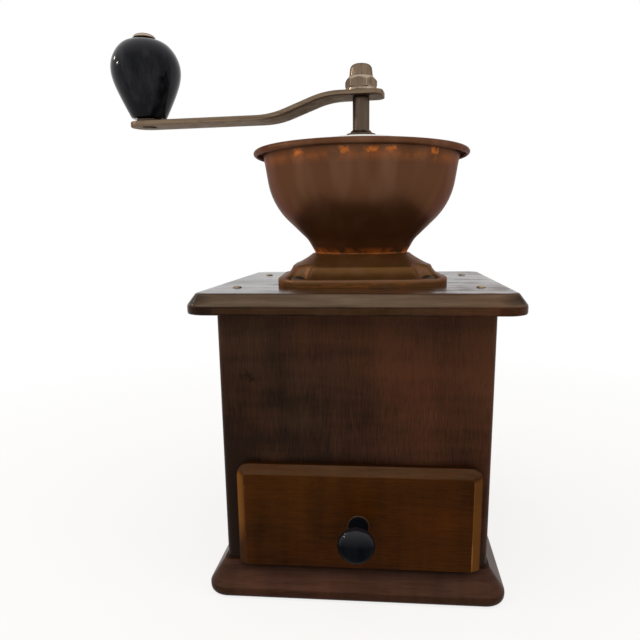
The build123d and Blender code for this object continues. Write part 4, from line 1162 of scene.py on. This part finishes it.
class MILL_OT_grip(bpy.types.Operator):
    """Make the egg-shaped grip, the pin it turns on and the washer under it"""

    bl_idname = "mill.grip"
    bl_label = "Grip and pin"

    def execute(self, context):
        crank = measured(context.scene.mill_crank)
        low, high = cad("grip")
        place = Matrix.Translation((*((low + high) / 2).xy, 0.0))
        foot, crown, bore, shank = crank.grip_foot, crank.grip_crown, crank.grip_bore, crank.pin
        flank, belly = low.z + crank.flank_height, low.z + crank.belly_height
        egg = [(foot, low.z), (crank.grip_flank, flank), (crank.grip_belly, belly), (crown, high.z)]
        profile = [(bore, low.z, 0.0), (foot - 0.5, low.z, 0.5), (foot - 0.12, low.z + 0.14, 0.9)]
        profile += [(*point, 0.3) for point in smooth_line(egg, (0.5, 1), (-1, 0.12), 18)[1:-1]]
        profile += [(crown - 0.3, high.z, 0.6), (bore, high.z, 0.3)]
        grip = turned("grip_lacquered", profile, "black lacquered wood", place, 112, loop=True, sharp=60)
        seated(grip, "grip", "black_lacquer", "grip")

        pin_low, pin_high = cad("grip_pin")
        head = (pin_high.x - pin_low.x) / 2
        gap = 1.2
        seat, under, tail = high.z + gap, cad("crank_arm")[0].z, crank.pin_tail
        # Painted shade below 0: the riveted tail under the arm and the head's underside over the grip; the
        # head's high values are a painted highlight
        profile = [(0.0, pin_low.z, -1.0), (tail - 1.1, pin_low.z, -1.0)]
        profile += [(tail - 0.3, pin_low.z + 0.16, -1.0), (tail, under, -1.0)]
        profile += [(shank, under, 0.0), (shank, seat, 0.0), (head - 0.2, seat, -1.0)]
        brim = seat + 0.25
        profile.append((head, brim, 1.0))
        for bend in (share * pi / 2 for share in shares(11)[:-1]):
            profile.append((head * cos(bend), brim + (pin_high.z - brim) * sin(bend), 2.0))
        profile += [(0.9, pin_high.z, 2.0), (0.0, pin_high.z, 2.0)]
        seated(turned("grip_pin_riveted", profile, "turned steel", place, 56), "crank", "steel", "grip_pin")
        # Painted shade: the washer under the grip is darkened by values below 0
        washer("grip_washer", "worn rolled steel", 3.05, soft=0.2, wear=[-0.8] * 3, place=place, steps=56)
        return {"FINISHED"}


def fastener_tree():
    """Geometry nodes that set one fastener at each place, each turned its own way."""
    tree = bpy.data.node_groups.new("fasteners at their places", "GeometryNodeTree")
    inputs = ("Places", "Geometry"), ("Fastener", "Object"), ("Size", "Float"), ("Slot Seed", "Int")
    for name, kind in (*inputs, ("Finish", "Material")):
        tree.interface.new_socket(name, in_out="INPUT", socket_type="NodeSocket" + kind)
    tree.interface.new_socket("Fasteners", in_out="OUTPUT", socket_type="NodeSocketGeometry")
    add = partial(node, tree)
    given = add("NodeGroupInput", out=None)
    shape = add("GeometryNodeObjectInfo", {"Object": given["Fastener"]}, "Geometry")
    slot = add("FunctionNodeRandomValue", {2: 0.0, 3: pi, "Seed": given["Slot Seed"]}, 1, data_type="FLOAT")
    set_out = add("GeometryNodeInstanceOnPoints", {
        "Points": given["Places"],
        "Instance": shape,
        "Rotation": add("CombineXYZ", {"Z": slot}),
        "Scale": given["Size"],
    })
    real = add("GeometryNodeRealizeInstances", (set_out,))
    finished = add("GeometryNodeSetMaterial", {"Geometry": real, "Material": given["Finish"]})
    add("NodeGroupOutput", (finished,), None)
    return tree


def screw_head(name, head, tall, shank, depth, slotted):
    """One fastener with a domed head on z = 0, its shank below and, on a screw, a slot across it."""
    brim = 0.1
    profile = [(0.0, -depth), (shank, -depth), (shank, 0.0), (head - brim, 0.0), (head, brim)]
    for bend in (share * pi / 2 for share in shares(8)[:-1]):
        profile.append((head * cos(bend), brim + (tall - brim) * sin(bend)))
    # Slotted screws are darkened by values below 0, and nails get 2, a painted glint on their heads
    profile = [(*spot, -0.75 if slotted else 2.0) for spot in [*profile, (0.0, tall)]]
    one = turned(name, profile, "dull screw steel", steps=24)
    if not slotted:
        return one
    shape = bmesh.new()
    shape.from_mesh(one.data)
    slit = head * 0.13 * MM
    for side in (-slit, slit):
        geometry = shape.verts[:] + shape.edges[:] + shape.faces[:]
        bmesh.ops.bisect_plane(shape, geom=geometry, plane_co=(0, side, 0), plane_no=(0, 1, 0))
    middles = {face: face.calc_center_median() for face in shape.faces}
    cut = [face for face, spot in middles.items() if abs(spot.y) < slit and spot.z > 0.12 * MM]
    sunk = bmesh.ops.extrude_face_region(shape, geom=cut)
    for vert in (part for part in sunk["geom"] if isinstance(part, bmesh.types.BMVert)):
        vert.co.z = min(vert.co.z, tall * 0.5 * MM)
    bmesh.ops.delete(shape, geom=[face for face in cut if face.is_valid], context="FACES_ONLY")
    shape.to_mesh(one.data)
    shape.free()
    return one


def set_fasteners(name, one, places, finish, seed):
    """Runs the fastener tree over those places and returns the result as a plain piece."""
    tree = bpy.data.node_groups.get("fasteners at their places") or fastener_tree()
    spots = bpy.data.meshes.new(name)
    spots.from_pydata([Vector(place) * MM for place in places], [], [])
    carrier = placed(name + "_places", spots)
    modifier = carrier.modifiers.new("fasteners", "NODES")
    modifier.node_group = tree
    values = {"Fastener": one, "Size": 1.0, "Slot Seed": seed, "Finish": bpy.data.materials[finish]}
    for item in tree.interface.items_tree:
        if item.in_out == "INPUT" and item.name in values:
            modifier[item.identifier] = values[item.name]
    ready = carrier.evaluated_get(bpy.context.evaluated_depsgraph_get())
    mesh = bpy.data.meshes.new_from_object(ready)
    carrier.modifiers.remove(modifier)
    bpy.data.objects.remove(carrier)
    bpy.data.objects.remove(one)
    if not mesh.polygons:
        raise RuntimeError(f"no fasteners were set for {name}")
    return placed(name, mesh)


class MILL_OT_fasteners(bpy.types.Operator):
    """Set the flange's screws and the nails of the top board, and finish the hidden fasteners"""

    bl_idname = "mill.fasteners"
    bl_label = "Screws and nails"

    def execute(self, context):
        hopper = measured(context.scene.mill_hopper)
        board = cad("top_board")[1].z
        one = screw_head("flange_screw", head=3.3, tall=1.9, shank=1.7, depth=8.6, slotted=True)
        places = lifted(screw_places(hopper), board + hopper.dimple_floor)
        screws = set_fasteners("flange_screws_set", one, places, "dull screw steel", 4)
        seated(screws, "case", "screw_steel", "flange_screws")
        low, high = cad("top_board_nails")
        head = 2.0
        one = screw_head("board_nail", head, tall=0.7, shank=1.0, depth=24.4, slotted=False)
        across, along = (low.x + head, high.x - head), (low.y + head, high.y - head)
        places = [(x, y, board) for x in across for y in along]
        nails = set_fasteners("top_board_nails_set", one, places, "turned steel", 1)
        seated(nails, "case", "screw_steel", "top_board_nails")
        refinished("dull screw steel", "base_screws", "burr_ring_screws", "bracket_screws", "burr_nut")
        return {"FINISHED"}


class MILL_OT_works(bpy.types.Operator):
    """Finish the burrs, the feed screw and the adjuster inside the case"""

    bl_idname = "mill.works"
    bl_label = "Grinding works"

    def execute(self, context):
        refinished("oiled cast iron", "burr_ring", "inner_burr", "feed_screw")
        adjuster = "lower_bracket", "click_spring", "click_spring_rivet", "thrust_ball", "adjusting_wheel"
        refinished("dull screw steel", *adjuster)
        return {"FINISHED"}


class MILL_OT_stage(bpy.types.Operator):
    """Lay the pale floor, hang the soft lamps and place the camera"""

    bl_idname = "mill.stage"
    bl_label = "Stage"

    def execute(self, context):
        scene = context.scene
        stage = scene.mill_stage
        scene.view_settings.view_transform = "Standard"
        white = {"Color": (1, 1, 1, 1), "Strength": 1.0}

        def seen_rays(add):
            """1 for rays from the camera, a gloss or a clear piece, and 0 for light that falls on things."""
            path = add("LightPath", out=None)
            seen = add("Math", (path["Is Camera Ray"], path["Is Glossy Ray"]), operation="MAXIMUM")
            return add("Math", (seen, path["Is Transmission Ray"]), operation="MAXIMUM")

        floor_mesh = bpy.data.meshes.new("floor")
        reach = 6.0
        corners = (-reach, -reach, 0), (reach, -reach, 0), (reach, reach, 0), (-reach, reach, 0)
        floor_mesh.from_pydata(corners, [], [(0, 1, 2, 3)])
        floor = placed("floor", floor_mesh)
        # Matt white paper keeps the shadow near the mill and fades to plain white further off
        paper = bpy.data.materials.new("matt paper sweep")
        paper.use_nodes = True
        tree = paper.node_tree
        tree.nodes.remove(tree.nodes["Principled BSDF"])
        add = partial(node, tree)
        away = add("VectorMath", (add("TexCoord", out="Object"),), "Value", operation="LENGTH")
        fade = add("MapRange", (away, 0.1, 0.5, 0.8, 1.0))
        share = add("Math", (seen_rays(add), fade), operation="MULTIPLY")
        both = add("MixShader", (share, add("BsdfDiffuse", {"Color": stage.floor}), add("Emission", white)))
        plugged(tree.nodes["Material Output"], {"Surface": both})
        floor_mesh.materials.append(paper)

        world = bpy.data.worlds.new("white room")
        scene.world = world
        world.use_nodes = True
        world.node_tree.nodes.clear()
        add = partial(node, world.node_tree)
        soft = add("Background", {"Color": linear("fffaf2"), "Strength": stage.sky})
        both = add("MixShader", (seen_rays(add), soft, add("Background", white)))
        add("OutputWorld", {"Surface": both}, None)

        aim = Vector((0, 0, 0.14))
        for name, at, size, power in (
            ("left softbox", (-0.95, -0.45, 0.55), 0.9, stage.side_lamps),
            ("right softbox", (0.95, -0.35, 0.6), 0.9, stage.side_lamps),
            ("front softbox", (0.0, -0.6, 1.2), 0.9, stage.front_lamp),
            ("left bulb", (-0.87, 0.25, 0.6), 0.08, stage.bulbs),
            ("low bulb", (-0.9, -0.1, 0.47), 0.04, 2 * stage.bulbs),
        ):
            light = bpy.data.lights.new(name, "AREA")
            light.shape = "DISK"
            light.size = size
            light.energy = power
            light.color = linear("fff4e4")[:3]
            lamp = placed(name, light)
            lamp.location = at
            lamp.rotation_euler = (aim - Vector(at)).to_track_quat("-Z", "Y").to_euler()
            lamp.visible_glossy = "softbox" not in name

        lens = bpy.data.cameras.new("camera")
        lens.sensor_width = 36
        lens.lens = stage.lens
        lens.shift_x, lens.shift_y = stage.shift
        lens.clip_start = 0.01
        scene.camera = placed("camera", lens)
        view = Matrix.Translation(stage.camera_place)
        for turn, axis in ((stage.yaw, "Z"), (pi / 2 - stage.pitch, "X"), (stage.roll, "Z")):
            view = view @ Matrix.Rotation(turn, 4, axis)
        scene.camera.matrix_world = view
        return {"FINISHED"}


class MILL_PT_build(bpy.types.Panel):
    bl_label = "Box coffee mill"
    bl_idname = "MILL_PT_build"
    bl_space_type = "VIEW_3D"
    bl_region_type = "UI"
    bl_category = "Mill"

    def draw(self, context):
        for operator in OPERATORS:
            self.layout.operator(operator.bl_idname)
        for group in GROUPS:
            settings = getattr(context.scene, group)
            for name in settings.__annotations__:
                self.layout.prop(settings, name)


OPERATORS = (
    MILL_OT_finishes, MILL_OT_boards, MILL_OT_walls, MILL_OT_drawer, MILL_OT_knob,
    MILL_OT_flange, MILL_OT_bowl, MILL_OT_bearing, MILL_OT_shaft, MILL_OT_arm,
    MILL_OT_nut, MILL_OT_grip, MILL_OT_fasteners, MILL_OT_works, MILL_OT_stage,
)
GROUPS = {
    "mill_case": CaseProperties,
    "mill_drawer": DrawerProperties,
    "mill_hopper": HopperProperties,
    "mill_crank": CrankProperties,
    "mill_stage": StageProperties,
}


def register():
    for kind in (*GROUPS.values(), *OPERATORS, MILL_PT_build):
        bpy.utils.register_class(kind)
    for name, kind in GROUPS.items():
        setattr(bpy.types.Scene, name, bpy.props.PointerProperty(type=kind))


def unregister():
    for name in GROUPS:
        delattr(bpy.types.Scene, name)
    for kind in reversed((*GROUPS.values(), *OPERATORS, MILL_PT_build)):
        bpy.utils.unregister_class(kind)


def main():
    register()
    for operator in OPERATORS:
        group, name = operator.bl_idname.split(".")
        getattr(getattr(bpy.ops, group), name)()


if __name__ == "__main__":
    main()
